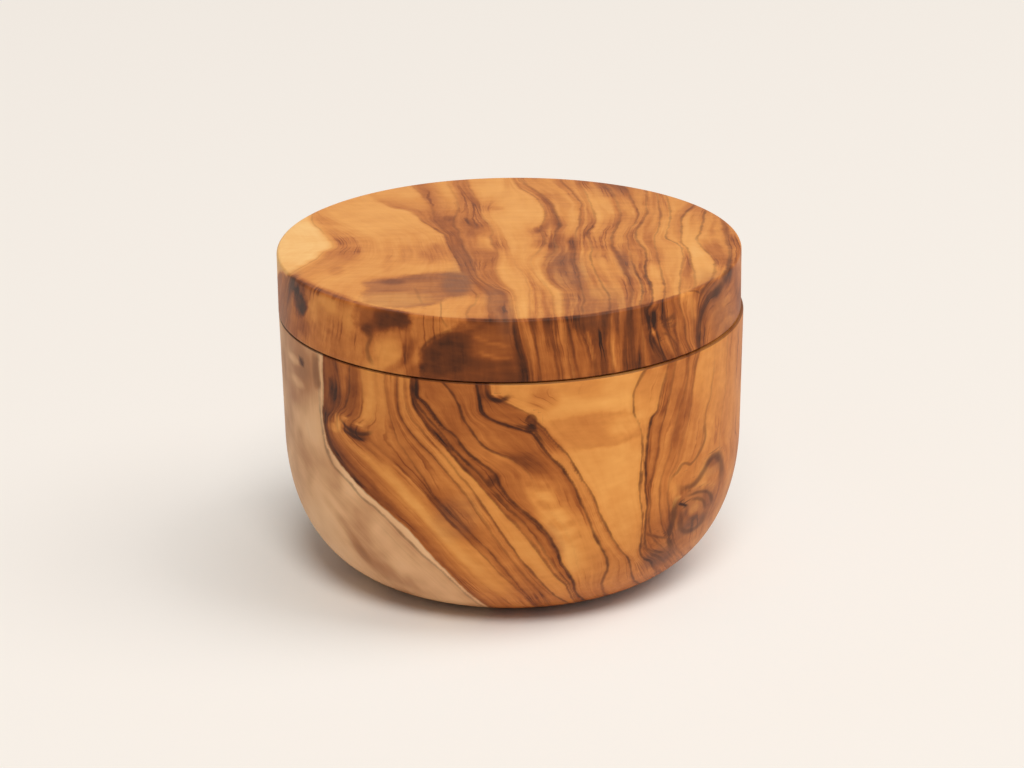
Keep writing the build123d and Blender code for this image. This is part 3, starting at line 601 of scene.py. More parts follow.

# Where the lid's top gives way to its side, seen from the front, as points (x, towards the back),
# which is where the side's painted shade begins
LID_EDGE = [
    (-50, -10), (-47, -18), (-44.5, -22), (-42, -25), (-39.5, -28), (-37, -31), (-34.5, -34), (-31, -37.4),
    (-26, -40.8), (-21, -44), (-15, -46.8), (-10, -48), (-5, -48.7), (0, -48.9), (5, -48.7), (10, -48),
    (15, -46.8), (20, -44.7), (25, -42.2), (30, -38.8), (35, -34), (39.5, -28.6), (42, -26), (45, -21),
    (47, -16), (50, -8),
]

# How the tables are turned into fields, in millimetres where nothing else is said
PATCH_FADE = (0.55, 1.45)  # parts of a soft patch's half size between which it fades out
STRIP_FADE = (0.4, 1.6)  # the same for a soft strip's half width
STRIP_TAPER = 0.2  # part of a strip's length over which it fades out at each end
STROKE_TAPER = 0.25  # the same for a free line
STROKE_REACH = 1.6  # how far from a free line its distance is kept
STROKE_FADE = 0.6  # part of that reach where the ink begins to fade
STROKE_PLAIN_WIDTH = 0.3  # away from every free line
CURVE_PIECES = 5  # straight pieces between two points of a free line or strip
LINE_LEAST_GAP = 0.35  # between two growth lines
EDGE_GAP = 4.0  # from the last growth line on each side to one that isn't drawn
SLOPE_STEP = 0.2  # over which a growth line's slope is measured
LEAST_RATE = 0.15  # of the phase, in parts of its mean, so that the gap stays finite
FIGURE_FAR = 30.0  # the distance to a figure where there is none
FIGURE_PLAIN = 0.5  # tone and softness of a figure where there is none


def smooth_curve(points, at):
    """The value at each height of a smooth curve through points (value, height), with no overshoot."""
    table = np.array(sorted(points, key=lambda point: point[1]), float)
    value = table[:, 0]
    height = table[:, 1]
    step = np.diff(height)
    slope = np.diff(value) / step
    tangent = np.zeros(len(value))
    tangent[0] = slope[0]
    tangent[-1] = slope[-1]
    for i in range(1, len(value) - 1):
        if slope[i - 1] * slope[i] > 0:
            tangent[i] = 2 * slope[i - 1] * slope[i] / (slope[i - 1] + slope[i])
    at = np.clip(at, height[0], height[-1])
    i = np.clip(np.searchsorted(height, at) - 1, 0, len(step) - 1)
    t = (at - height[i]) / step[i]
    rise = (1 + 2 * t) * (1 - t) ** 2 * value[i] + t * t * (3 - 2 * t) * value[i + 1]
    lean = t * (1 - t) ** 2 * tangent[i] - t * t * (1 - t) * tangent[i + 1]
    return rise + step[i] * lean


def keyed(keys, column, at):
    """One column of a list of keys (height, hundredths, ...) as a share of 1, straight between them."""
    table = np.array(sorted(keys), float)
    return np.interp(at, table[:, 0], table[:, column] / 100)


def smoothstep(low, high, x):
    """0 below low and 1 above high, smooth between."""
    t = np.clip((x - low) / (high - low), 0, 1)
    return t * t * (3 - 2 * t)


def between(low, high, share):
    """The value that lies this share of the way from low to high."""
    return low + (high - low) * share


def tapered(along, length):
    """1 along the middle of a line, falling to 0 over this share of its length at both ends."""
    return smoothstep(0, length, along) * (1 - smoothstep(1 - length, 1, along))


def patch_weight(u, v, centre_u, centre_v, half_u, half_v, turn):
    """1 at the middle of a soft patch, falling to 0 outside it."""
    angle = math.radians(turn)
    across = (u - centre_u) * math.cos(angle) + (v - centre_v) * math.sin(angle)
    along = (v - centre_v) * math.cos(angle) - (u - centre_u) * math.sin(angle)
    distance = np.sqrt((across / half_u) ** 2 + (along / half_v) ** 2)
    return 1 - smoothstep(*PATCH_FADE, distance)


def fine_path(points):
    """Points close together along a smooth curve through the given ones."""
    table = np.array([points[0], *points, points[-1]], float)
    t = np.linspace(0, 1, CURVE_PIECES, endpoint=False)[:, None]
    pieces = []
    for a, b, c, d in zip(table, table[1:], table[2:], table[3:]):
        bend = (2 * a - 5 * b + 4 * c - d) * t**2 + (3 * b - a - 3 * c + d) * t**3
        pieces.append(b + 0.5 * ((c - a) * t + bend))
    return np.vstack([*pieces, table[-1:]])


def from_piece(u, v, start, end):
    """How far along a straight piece the nearest place to each point is, and the distance to it."""
    du, dv = np.subtract(end, start)
    t = np.clip(((u - start[0]) * du + (v - start[1]) * dv) / (du * du + dv * dv), 0, 1)
    return t, np.hypot(u - start[0] - t * du, v - start[1] - t * dv)


def stroke_distance(u, v, points):
    """Signed distance to an open curve, and how far along it the nearest place is, from 0 to 1."""
    path = fine_path(points)
    lengths = np.hypot(*np.diff(path, axis=0).T)
    signed = np.full(len(u), np.inf)
    along = np.zeros(len(u))
    travelled = 0
    for start, end, length in zip(path, path[1:], lengths):
        t, distance = from_piece(u, v, start, end)
        closer = distance < np.abs(signed)
        du, dv = end - start
        side = np.where((u - start[0]) * dv > (v - start[1]) * du, 1, -1)
        signed = np.where(closer, side * distance, signed)
        along = np.where(closer, (travelled + t * length) / lengths.sum(), along)
        travelled += length
    return signed, along


def signed_distance(u, v, outline):
    """Distance to a closed outline, negative inside it."""
    nearest = np.full(len(u), np.inf)
    inside = np.zeros(len(u), bool)
    for start, end in zip(outline, outline[1:] + outline[:1]):
        nearest = np.minimum(nearest, from_piece(u, v, start, end)[1])
        if start[1] != end[1]:
            crossing = start[0] + (v - start[1]) * (end[0] - start[0]) / (end[1] - start[1])
            inside ^= ((start[1] > v) != (end[1] > v)) & (u < crossing)
    return np.where(inside, -nearest, nearest)


def stroke_fields(u, v, strokes):
    """Two layers of free lines: distance to the nearest one, its ink and its width."""
    fields = {}
    for layer in range(2):
        distance = np.full(len(u), STROKE_REACH)
        ink = np.zeros(len(u))
        width = np.full(len(u), STROKE_PLAIN_WIDTH)
        for points, strength, half_width in strokes[layer::2]:
            low = np.min(points, axis=0) - STROKE_REACH
            high = np.max(points, axis=0) + STROKE_REACH
            near = np.flatnonzero((u > low[0]) & (u < high[0]) & (v > low[1]) & (v < high[1]))
            signed, along = stroke_distance(u[near], v[near], points)
            closer = np.abs(signed) < np.abs(distance[near])
            near = near[closer]
            signed = signed[closer]
            faded = 1 - smoothstep(STROKE_FADE * STROKE_REACH, STROKE_REACH, np.abs(signed))
            distance[near] = signed
            ink[near] = strength * tapered(along[closer], STROKE_TAPER) * faded
            width[near] = half_width
        fields[f"stroke{layer}"] = distance
        fields[f"stroke{layer}_ink"] = ink
        fields[f"stroke{layer}_width"] = width
    return fields


def figure_fields(u, v, figures):
    """Closed figures with a tone of their own: distance to the nearest one, and what it is like."""
    edge = np.full(len(u), FIGURE_FAR)
    tone = np.full(len(u), FIGURE_PLAIN)
    dusk = np.zeros(len(u))
    soft = np.full(len(u), FIGURE_PLAIN)
    for outline, own_tone, grey, edge_soft in figures:
        distance = signed_distance(u, v, outline)
        closer = distance < edge
        edge = np.minimum(edge, distance)
        tone = np.where(closer, own_tone, tone)
        dusk = np.where(closer, grey, dusk)
        soft = np.where(closer, edge_soft, soft)
    return {"figure": edge, "figure_tone": tone, "figure_dusk": dusk, "figure_soft": soft}


def line_places(curves, v):
    """Where every growth line crosses each height v, kept in order."""
    places = []
    for points in curves:
        place = smooth_curve(points, v)
        if places:
            place = np.maximum(place, places[-1] + LINE_LEAST_GAP)
        places.append(place)
    return np.array(places)


def grain_fields(u, v, tone_v, lines, patches, strips, strokes, figures, dusks):
    """The grain's fields at points (u, v) in millimetres, worked out from the growth lines.

    The tones are read at the heights tone_v.
    """
    count = len(lines)
    index = np.arange(len(u))
    curves, tone_keys, ink_keys, widths, softness = zip(*lines)
    places = line_places(curves, v)
    slopes = (line_places(curves, v + SLOPE_STEP) - places) / SLOPE_STEP
    padded = np.vstack([places[0] - EDGE_GAP, places, places[-1] + EDGE_GAP])
    band = (places < u).sum(0)  # 0 is left of every line, and line i of the list is i + 1
    left = padded[band, index]
    gap = padded[band + 1, index] - left
    share = (u - left) / gap
    t = np.clip(share, 0, 1)

    def across(values):
        """Values on the lines and one past them on each side, carried over the bands between."""
        return between(values[band, index], values[band + 1, index], t)

    def blended(values):
        """The same for values on the lines alone, where the outer ones go on."""
        return across(np.vstack([values[:1], values, values[-1:]]))

    def of_each_line(values):
        """The same for one value a line."""
        return blended(np.outer(values, np.ones(len(u))))

    # The phase is a smooth function across the lines, so that distances near a line are true
    rates = 1 / np.diff(padded, axis=0)
    knot_rates = np.vstack([rates[:1], 2 * rates[1:] * rates[:-1] / (rates[1:] + rates[:-1]), rates[-1:]])
    start = knot_rates[band, index] * gap
    end = knot_rates[band + 1, index] * gap
    phase = t * t * (3 - 2 * t) + start * t * (1 - t) ** 2 - end * t * t * (1 - t)
    rate = 6 * t * (1 - t) + start * (1 - t) * (1 - 3 * t) + end * t * (3 * t - 2)
    phase = band + phase + (share - t)
    gap = gap / np.maximum(rate, LEAST_RATE) / np.hypot(1, blended(slopes))

    # The flow is the phase in millimetres, each band as wide as it is on average
    ends = np.cumsum(np.diff(padded, axis=0).mean(1))
    flow = np.interp(phase, np.arange(count + 2), [0, *ends])
    flow = flow + (np.minimum(phase, 0) + np.maximum(phase - count - 1, 0)) * EDGE_GAP

    # Tone in each band, kept apart for even and odd bands, so that the edge between them is drawn
    # by the material at full sharpness
    left_tone = np.array([keyed(keys, 1, tone_v) for keys in tone_keys])
    right_tone = np.array([keyed(keys, 2, tone_v) for keys in tone_keys])
    start_tone = np.vstack([left_tone[:1], right_tone])
    end_tone = np.vstack([left_tone, right_tone[-1:]])
    own = between(start_tone[band, index], end_tone[band, index], t)
    before = end_tone[np.maximum(band - 1, 0), index]
    after = start_tone[np.minimum(band + 1, count), index]
    other = between(before, after, t)

    shade = np.zeros(len(u))
    for *shape, change in patches:
        shade += change * patch_weight(u, v, *shape)
    for points, half_width, change in strips:
        distance, along = stroke_distance(u, v, points)
        side = 1 - smoothstep(*STRIP_FADE, np.abs(distance) / half_width)
        shade += change * tapered(along, STRIP_TAPER) * side
    dusk = np.zeros(len(u))
    for *shape, grey in dusks:
        dusk = np.maximum(dusk, grey * patch_weight(u, v, *shape))

    blank = np.zeros((1, len(u)))
    inks = np.vstack([blank, [keyed(keys, 1, v) for keys in ink_keys], blank])
    fields = {
        "phase": phase,
        "gap": gap,
        "flow": flow,
        "even": np.where(band % 2 == 0, own, other) + shade,
        "odd": np.where(band % 2 == 0, other, own) + shade,
        "ink": across(inks),
        "width": of_each_line(widths),
        "soft": of_each_line(softness),
        "dusk": dusk,
        **figure_fields(u, v, figures),
        **stroke_fields(u, v, strokes),
    }
    fields["figure_tone"] += shade
    return fields


def write_fields(mesh, fields):
    """Stores each field on the mesh as an attribute that the material reads."""
    for name, values in fields.items():
        attribute = mesh.attributes.new("grain_" + name, "FLOAT", "POINT")
        attribute.data.foreach_set("value", np.asarray(values, np.float32))


def points_of(mesh):
    """The mesh's points as an array, in millimetres."""
    flat = np.zeros(len(mesh.vertices) * 3, np.float32)
    mesh.vertices.foreach_get("co", flat)
    return flat.reshape(-1, 3).astype(float) / MM


def straight(start, end, step):
    """Evenly spaced points from start up to but not including end."""
    count = max(1, round(math.dist(start, end) / step))
    return start + np.subtract(end, start) * np.arange(count)[:, None] / count


def quarter(start, corner, end, steps):
    """Points round a quarter arc from start to end, whose tangents meet at corner, without end."""
    centre = np.add(start, end) - corner
    angle = math.pi / 2 * np.arange(steps)[:, None] / steps
    return centre + (start - centre) * np.cos(angle) + (end - centre) * np.sin(angle)


def turned_corner(wall, floor, step):
    """Points down the full curve from a wall point to a floor point, without the last."""
    wall_pull = (wall[0], wall[1] - (wall[1] - floor[1]) * CURVE_FULLNESS)
    floor_pull = (floor[0] + (wall[0] - floor[0]) * CURVE_FULLNESS, floor[1])
    count = round(math.dist(wall, floor) * CURVE_LENGTH / step)
    t = np.arange(count)[:, None] / count
    s = 1 - t
    return s**3 * wall + 3 * s * s * t * wall_pull + 3 * s * t * t * floor_pull + t**3 * floor


def turned(name, profile):
    """A closed mesh turned about Z from a profile (radius, height) that starts and ends on the axis."""
    back = np.arange(BACK_TURNS) * math.pi / BACK_TURNS
    front = math.pi + np.arange(FRONT_TURNS) * math.pi / FRONT_TURNS
    angles = np.concatenate([back, front])
    turns = len(angles)
    radii, heights = profile[1:-1].T[:, :, None]
    rows = np.stack([radii * np.cos(angles), radii * np.sin(angles), heights + 0 * angles], axis=-1)
    points = np.vstack([[0, 0, profile[0, 1]], rows.reshape(-1, 3), [0, 0, profile[-1, 1]]])
    faces = []
    last = len(points) - 1
    top = last - turns
    for j in range(turns):
        k = (j + 1) % turns
        faces.append((0, 1 + k, 1 + j))
        for low in range(1, top, turns):
            high = low + turns
            faces.append((low + j, low + k, high + k, high + j))
        faces.append((top + j, top + k, last))
    mesh = bpy.data.meshes.new(name)
    mesh.from_pydata(points.tolist(), [], faces)
    mesh.validate()
    piece = bpy.data.objects.new(name, mesh)
    bpy.context.scene.collection.objects.link(piece)
    return piece


def drill(piece, centre_y, radius, low, high):
    """Cuts an upright round hole from low to high through the piece's surface."""
    bpy.ops.mesh.primitive_cylinder_add(
        vertices=HOLE_SIDES, radius=radius, depth=high - low, location=(0, centre_y, (low + high) / 2)
    )
    cutter = bpy.context.object
    cut = piece.modifiers.new("drill", "BOOLEAN")
    cut.object = cutter
    cut.operation = "DIFFERENCE"
    cut.solver = "EXACT"
    bpy.context.view_layer.objects.active = piece
    bpy.ops.object.modifier_apply(modifier=cut.name)
    bpy.data.objects.remove(cutter)


def smooth_shading(piece):
    """Smooth shading with the edges of holes and flat faces kept sharp."""
    mesh = piece.data
    for polygon in mesh.polygons:
        polygon.use_smooth = True
    mesh.set_sharp_from_angle(angle=SHARP_ANGLE)


def bowl_profile():
    """The bowl's outline, from the middle of the foot up the outside, over the rim and down inside."""
    foot_edge = (FOOT_RADIUS, 0)
    hollow_middle = (0, HOLLOW_FLOOR[1])
    rim_outer = (BOWL_RADIUS, RIM_Z)
    rim_inner = (CAVITY_RADIUS, RIM_Z)
    wall_top = (BOWL_RADIUS, RIM_Z - RIM_OUTER_ROUND)
    rim_start = (BOWL_RADIUS - RIM_OUTER_ROUND, RIM_Z)
    rim_end = (CAVITY_RADIUS + RIM_INNER_ROUND, RIM_Z)
    wall_start = (CAVITY_RADIUS, RIM_Z - RIM_INNER_ROUND)
    outside = turned_corner(SHOULDER, foot_edge, OUTER_STEP)
    return np.vstack(
        [
            straight((0, 0), foot_edge, FOOT_STEP),
            foot_edge,
            outside[:0:-1],
            straight(SHOULDER, wall_top, OUTER_STEP),
            quarter(wall_top, rim_outer, rim_start, SMALL_ROUND_STEPS),
            straight(rim_start, rim_end, RIM_STEP),
            quarter(rim_end, rim_inner, wall_start, ROUND_STEPS),
            straight(wall_start, HOLLOW_SHOULDER, INNER_STEP),
            turned_corner(HOLLOW_SHOULDER, HOLLOW_FLOOR, INNER_STEP),
            straight(HOLLOW_FLOOR, hollow_middle, INNER_STEP),
            hollow_middle,
        ]
    )


def lid_profile():
    """The lid's outline, from the middle of its underside round to the middle of its top."""
    low_start = (LID_RADIUS - LID_BOTTOM_ROUND, LID_BOTTOM)
    side_start = (LID_RADIUS, LID_BOTTOM + LID_BOTTOM_ROUND)
    side_end = (LID_RADIUS, LID_TOP - LID_TOP_ROUND)
    high_start = (LID_RADIUS - LID_TOP_ROUND, LID_TOP)
    return np.vstack(
        [
            straight((0, LID_BOTTOM), low_start, LID_UNDERSIDE_STEP),
            quarter(low_start, (LID_RADIUS, LID_BOTTOM), side_start, SMALL_ROUND_STEPS),
            straight(side_start, side_end, OUTER_STEP),
            quarter(side_end, (LID_RADIUS, LID_TOP), high_start, ROUND_STEPS),
            straight(high_start, (0, LID_TOP), OUTER_STEP),
            (0, LID_TOP),
        ]
    )


def waves(terms, x, y, z):
    """The sum of waves, each written as its height, its turns along x, y and z, and its start."""
    return sum(height * np.sin(x * a + y * b + z * c + start) for height, a, b, c, start in terms)


def make_bowl():
    """The bowl with its bore and its magnet's seat, and the grain on it."""
    piece = turned("bowl_wood", bowl_profile())
    drill(piece, PIVOT_Y, BUSH_SEAT_RADIUS, pin_low.z, RIM_Z + MM)
    drill(piece, PIVOT_Y, WASHER_SEAT_RADIUS, washer_low.z, RIM_Z + MM)
    drill(piece, MAGNET_Y, MAGNET_SEAT_RADIUS, magnet_low.z, RIM_Z + MM)
    smooth_shading(piece)
    x, y, z = points_of(piece.data).T
    far = smoothstep(*BACK_BEND, y)
    u = x + far * waves(BACK_WAVES_ACROSS, x, y, z)
    v = np.clip(z + far * waves(BACK_WAVES_UP, x, y, z), *BOWL_HEIGHTS)
    fields = grain_fields(
        u, v, v, BOWL_LINES, BOWL_PATCHES, BOWL_STRIPS, BOWL_STROKES, BOWL_FIGURES, BOWL_DUSK
    )
    # The sapwood ends at the second line, and this is the distance inside it
    fields["sap"] = np.clip((2 - fields["phase"]) * fields["gap"], -SAP_REACH, SAP_REACH)
    fields["stripes"] = np.full(len(x), BOWL_STRIPES)
    # At the back the mesh's points lie further apart, so lines that crowd together there fade, and
    # the free lines end before it
    in_front = 1 - smoothstep(*FRONT_END, y)
    fields["ink"] *= np.maximum(in_front, smoothstep(*BACK_CROWDING, fields["gap"]))
    fields["stroke0_ink"] *= in_front
    fields["stroke1_ink"] *= in_front
    write_fields(piece.data, fields)
    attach(piece, "bowl")
    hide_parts("bowl")
    return piece


def make_lid():
    """The lid with its blind bore and its magnet's seat, and the grain on it."""
    piece = turned("lid_wood", lid_profile())
    piece.data.transform(Matrix.Translation((LID_CENTRE_X, 0, 0)))
    drill(piece, PIVOT_Y, BUSH_SEAT_RADIUS, LID_BOTTOM - MM, LID_BORE_TOP)
    drill(piece, MAGNET_Y, MAGNET_SEAT_RADIUS, LID_BOTTOM - MM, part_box("lid_magnet")[1].z)
    smooth_shading(piece)
    x, y, z = points_of(piece.data).T
    v = np.clip(y + z - LID_TOP / MM, *LID_PLACES)
    # The lines' tones from SIDE_TONES down are the side's, so they are read from where it starts
    edge = np.interp(x, *np.transpose(LID_EDGE))
    beyond = 1 - smoothstep(*SIDE_START, v - edge)
    tone_v = v - (edge - SIDE_TONES) * beyond
    fields = grain_fields(
        x, v, tone_v, LID_LINES, LID_PATCHES, LID_STRIPS, LID_STROKES, LID_FIGURES, LID_DUSK
    )
    top = smoothstep(*TOP_START, v - edge)
    fields["sap"] = np.full(len(x), -SAP_REACH)
    fields["soft"] *= between(SIDE_SOFT, TOP_SOFT, top)
    fields["ink"] *= between(SIDE_INK, TOP_INK, top)
    fields["stripes"] = between(*LID_STRIPES, smoothstep(*LID_STRIPES_RISE, x))
    # Painted shade: the side, lit less than the top, is drawn darker
    for name in ("even", "odd"):
        fields[name] += between(SIDE_PAINTED_SHADE, TOP_PAINTED_SHADE, top)
    write_fields(piece.data, fields)
    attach(piece, "lid")
    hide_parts("lid")
    return piece


class Value:
    """A number or a vector in a node tree. Numbers take part in sums and products like any other."""

    def __init__(self, graph, socket):
        self.graph = graph
        self.socket = socket

    def __add__(self, other):
        return self.graph.math("ADD", self, other)

    def __sub__(self, other):
        return self.graph.math("SUBTRACT", self, other)

    def __rsub__(self, other):
        return self.graph.math("SUBTRACT", other, self)

    def __mul__(self, other):
        return self.graph.math("MULTIPLY", self, other)

    def __truediv__(self, other):
        return self.graph.math("DIVIDE", self, other)

    def __neg__(self):
        return self * -1

    def __abs__(self):
        return self.graph.math("ABSOLUTE", self)


class Graph:
    """The node tree of a material or of the world, with short calls for the nodes that it uses."""

    def __init__(self, owner):
        owner.use_nodes = True
        self.owner = owner
        self.tree = owner.node_tree
        self.shader = self.tree.nodes.get("Principled BSDF")

    def link(self, value, socket):
        """Feeds a socket with a value of the tree, or sets it to a plain one."""
        if isinstance(value, Value):
            self.tree.links.new(value.socket, socket)
        else:
            socket.default_value = value

    def node(self, kind, inputs=None, **settings):
        """A new node with these settings and these inputs."""
        node = self.tree.nodes.new("ShaderNode" + kind)
        for name, setting in settings.items():
            setattr(node, name, setting)
        for socket, value in (inputs or {}).items():
            self.link(value, node.inputs[socket])
        return node

    def value(self, output, kind, inputs=None, **settings):
        """What one output of a new node gives."""
        return Value(self, self.node(kind, inputs, **settings).outputs[output])

    def field(self, name):
        """One of the grain's fields, from the mesh."""
        return self.value("Fac", "Attribute", attribute_name="grain_" + name)

    def place(self):
        """The place in the object's own frame, in metres."""
        return self.value("Object", "TexCoord")

    def scaled(self, vector, factor):
        """A vector times a plain number."""
        return self.value(0, "VectorMath", {0: vector, "Scale": factor}, operation="SCALE")

    def distance(self, vector, centre):
        """How far a place is from a fixed one."""
        return self.value("Value", "VectorMath", {0: vector, 1: centre}, operation="DISTANCE")

    def math(self, operation, *values, clamp=False):
        """Any sum on numbers, kept from 0 to 1 if clamp is set."""
        return self.value(0, "Math", dict(enumerate(values)), operation=operation, use_clamp=clamp)

    def step(self, value, low, high):
        """0 below low and 1 above high, smooth between."""
        inputs = {"Value": value, "From Min": low, "From Max": high}
        return self.value("Result", "MapRange", inputs, interpolation_type="SMOOTHSTEP")

    def seen(self):
        """1 for rays from the camera or a glossy or clear surface, and 0 for the light on things."""
        rays = self.node("LightPath").outputs
        camera, glossy, clear = (
            Value(self, rays[f"Is {kind} Ray"]) for kind in ("Camera", "Glossy", "Transmission")
        )
        return self.math("MAXIMUM", self.math("MAXIMUM", camera, glossy), clear)

    def combine(self, x, y, z):
        """A vector from its three numbers."""
        return self.value(0, "CombineXYZ", {0: x, 1: y, 2: z})

    def split(self, vector):
        """The three numbers of a vector."""
        return [Value(self, output) for output in self.node("SeparateXYZ", {0: vector}).outputs]

    def noise(self, vector, scale, detail, roughness=0.5):
        """Smooth noise from about -1 to 1."""
        inputs = {"Vector": vector, "Scale": scale, "Detail": detail, "Roughness": roughness}
        return self.value("Fac", "TexNoise", inputs) * 2 - 1

    def ramp(self, value, stops):
        """The colour at a value from 0 to 1, between stops (position, colour)."""
        node = self.node("ValToRGB", {0: value})
        elements = node.color_ramp.elements
        while len(elements) < len(stops):
            elements.new(0.5)
        for element, (position, colour) in zip(elements, stops):
            element.position = position
            element.color = linear(colour)
        return Value(self, node.outputs[0])

    def mix(self, factor, a, b):
        """Colour a where the factor is 0, and b where it is 1."""
        return self.value("Result", "Mix", {"Factor": factor, "A": a, "B": b}, data_type="RGBA")

    def bump(self, height, distance, strength):
        """A normal that follows small heights, from 0 to 1, over a distance in metres."""
        return self.value(0, "Bump", {"Height": height, "Distance": distance, "Strength": strength})


def linear(colour):
    """A screen colour from 0 to 255 as the opaque linear colour that renders to it."""
    shares = [c / 255 for c in colour]
    return (*[c / 12.92 if c <= 0.04045 else ((c + 0.055) / 1.055) ** 2.4 for c in shares], 1)


WOOD_TONES = [
    (0.0, (252, 200, 128)),
    (0.2, (238, 167, 88)),
    (0.35, (222, 145, 70)),
    (0.5, (197, 118, 54)),
    (0.65, (166, 91, 38)),
    (0.8, (128, 65, 26)),
    (0.92, (92, 46, 20)),
    (1.0, (54, 28, 15)),
]
SAP_TONES = [
    (0.0, (252, 208, 160)),
    (0.35, (232, 181, 132)),
    (0.6, (186, 128, 84)),
    (1.0, (104, 60, 36)),
]
LINE_COLOUR = (58, 27, 13)
DUSK_COLOUR = (128, 90, 68)

# Noises in the wood, as waves a millimetre and octaves, and the mottles' roughness. Streaks, ripples
# and threads are taken at places scaled by one factor across the grain and another along it.
WANDER_NOISE = (0.25, 2)
JITTER_NOISE = (1, 1)
STREAK_DRAW = (1, 0.09)
BROAD_NOISE = (0.6, 1)
MEDIUM_NOISE = (1.6, 3)
FINE_NOISE = (6, 2)
CLOUD_NOISE = (0.11, 3)
RIPPLE_DRAW = (0.2, 0.6)
RIPPLE_NOISE = (1, 2)
THREAD_DRAW = (0.55, 0.022)
THREAD_NOISE = (1, 1)
THREAD_PLACES_NOISE = (0.12, 1)
RAGGED_NOISE = (0.3, 3)
FRAYED_NOISE = (1.2, 2)
SWELL_NOISE = (0.3, 2)
MOTTLE_NOISE = (0.1, 2, 0.45)

# How far each line wanders, in millimetres
WANDER = 0.4
JITTER = 0.06
STROKE_WANDER = 0.3  # of that, in a free line

# How much each of them changes the tone of plain wood, of figures and of sapwood
STREAK_MEDIUM = 0.09
STREAK_FINE = 0.045
CLOUDS = 0.1
RIPPLES = 0.07
THREADS = 0.2
HALO = 0.16
FIGURE_MEDIUM = 0.05
FIGURE_RIPPLES = 0.1
FIGURE_CLOUDS = 0.05
SAP_MOTTLES = 0.34
SAP_MEDIUM = 0.06
SAP_HALO = 0.06

# Where they show
BROAD_EDGES = (-0.3, 0.3)  # noise between which a broad streak turns from pale to dark
LIFE_TONES = (0.2, 0.6)  # tones between which streaks grow to their full strength
LIFE_LEAST = 0.2  # part of it that they have in pale wood
THREAD_EDGES = (0.08, 0.01)  # noise at which a thread ends and is full
THREAD_PLACES = (-0.2, 0.35)  # noise between which threads come in
THREAD_TONES = (0.3, 0.55)  # tones between which they do
SAP_EDGES = (-0.12, 0.12)  # mm across the sapwood's edge

# The edges of bands and figures, as parts of the softness that the tables give
BAND_SOFTNESS = 1.3
FIGURE_RAGGED = 1.3
FIGURE_FRAYED = 0.3

# Growth lines and free lines: parts of their width where they are still full and where they end
SWELL = 0.8  # how much their width and ink change along them
LINE_WIDTH = 0.34
LINE_FULL = 0.3
LINE_END = 1.5
STROKE_FULL = 0.2
STROKE_END = 1.1
LINE_LEAST = 0.1  # mm added to where any line ends
LINE_INK = 0.85
INK_LOST_IN_FIGURES = 0.9
HALO_WIDTH = 0.5  # mm past a growth line's width
DUSK_STRENGTH = 0.5
DUSK_RIPPLES = 0.3

# The oiled surface
ROUGHNESS = 0.48
ROUGHNESS_MEDIUM = 0.05
SPECULAR = 0.18
BUMP_HEIGHT = 0.02 * MM
BUMP_STRENGTH = 0.4

# Painted shade along the outer edges where bowl and lid meet, for the shadow in the gap between
# them, in millimetres: heights between which each piece's edge darkens, and the distances from the
# axis inside which it stays clear
SEAM_SHADE_BELOW = (57.7, 57.86)
SEAM_SHADE_ABOVE = (58.5, 58.32)
SEAM_SHADE_RADII = (49.2, 49.5)
SEAM_SHADE_INK = 0.65


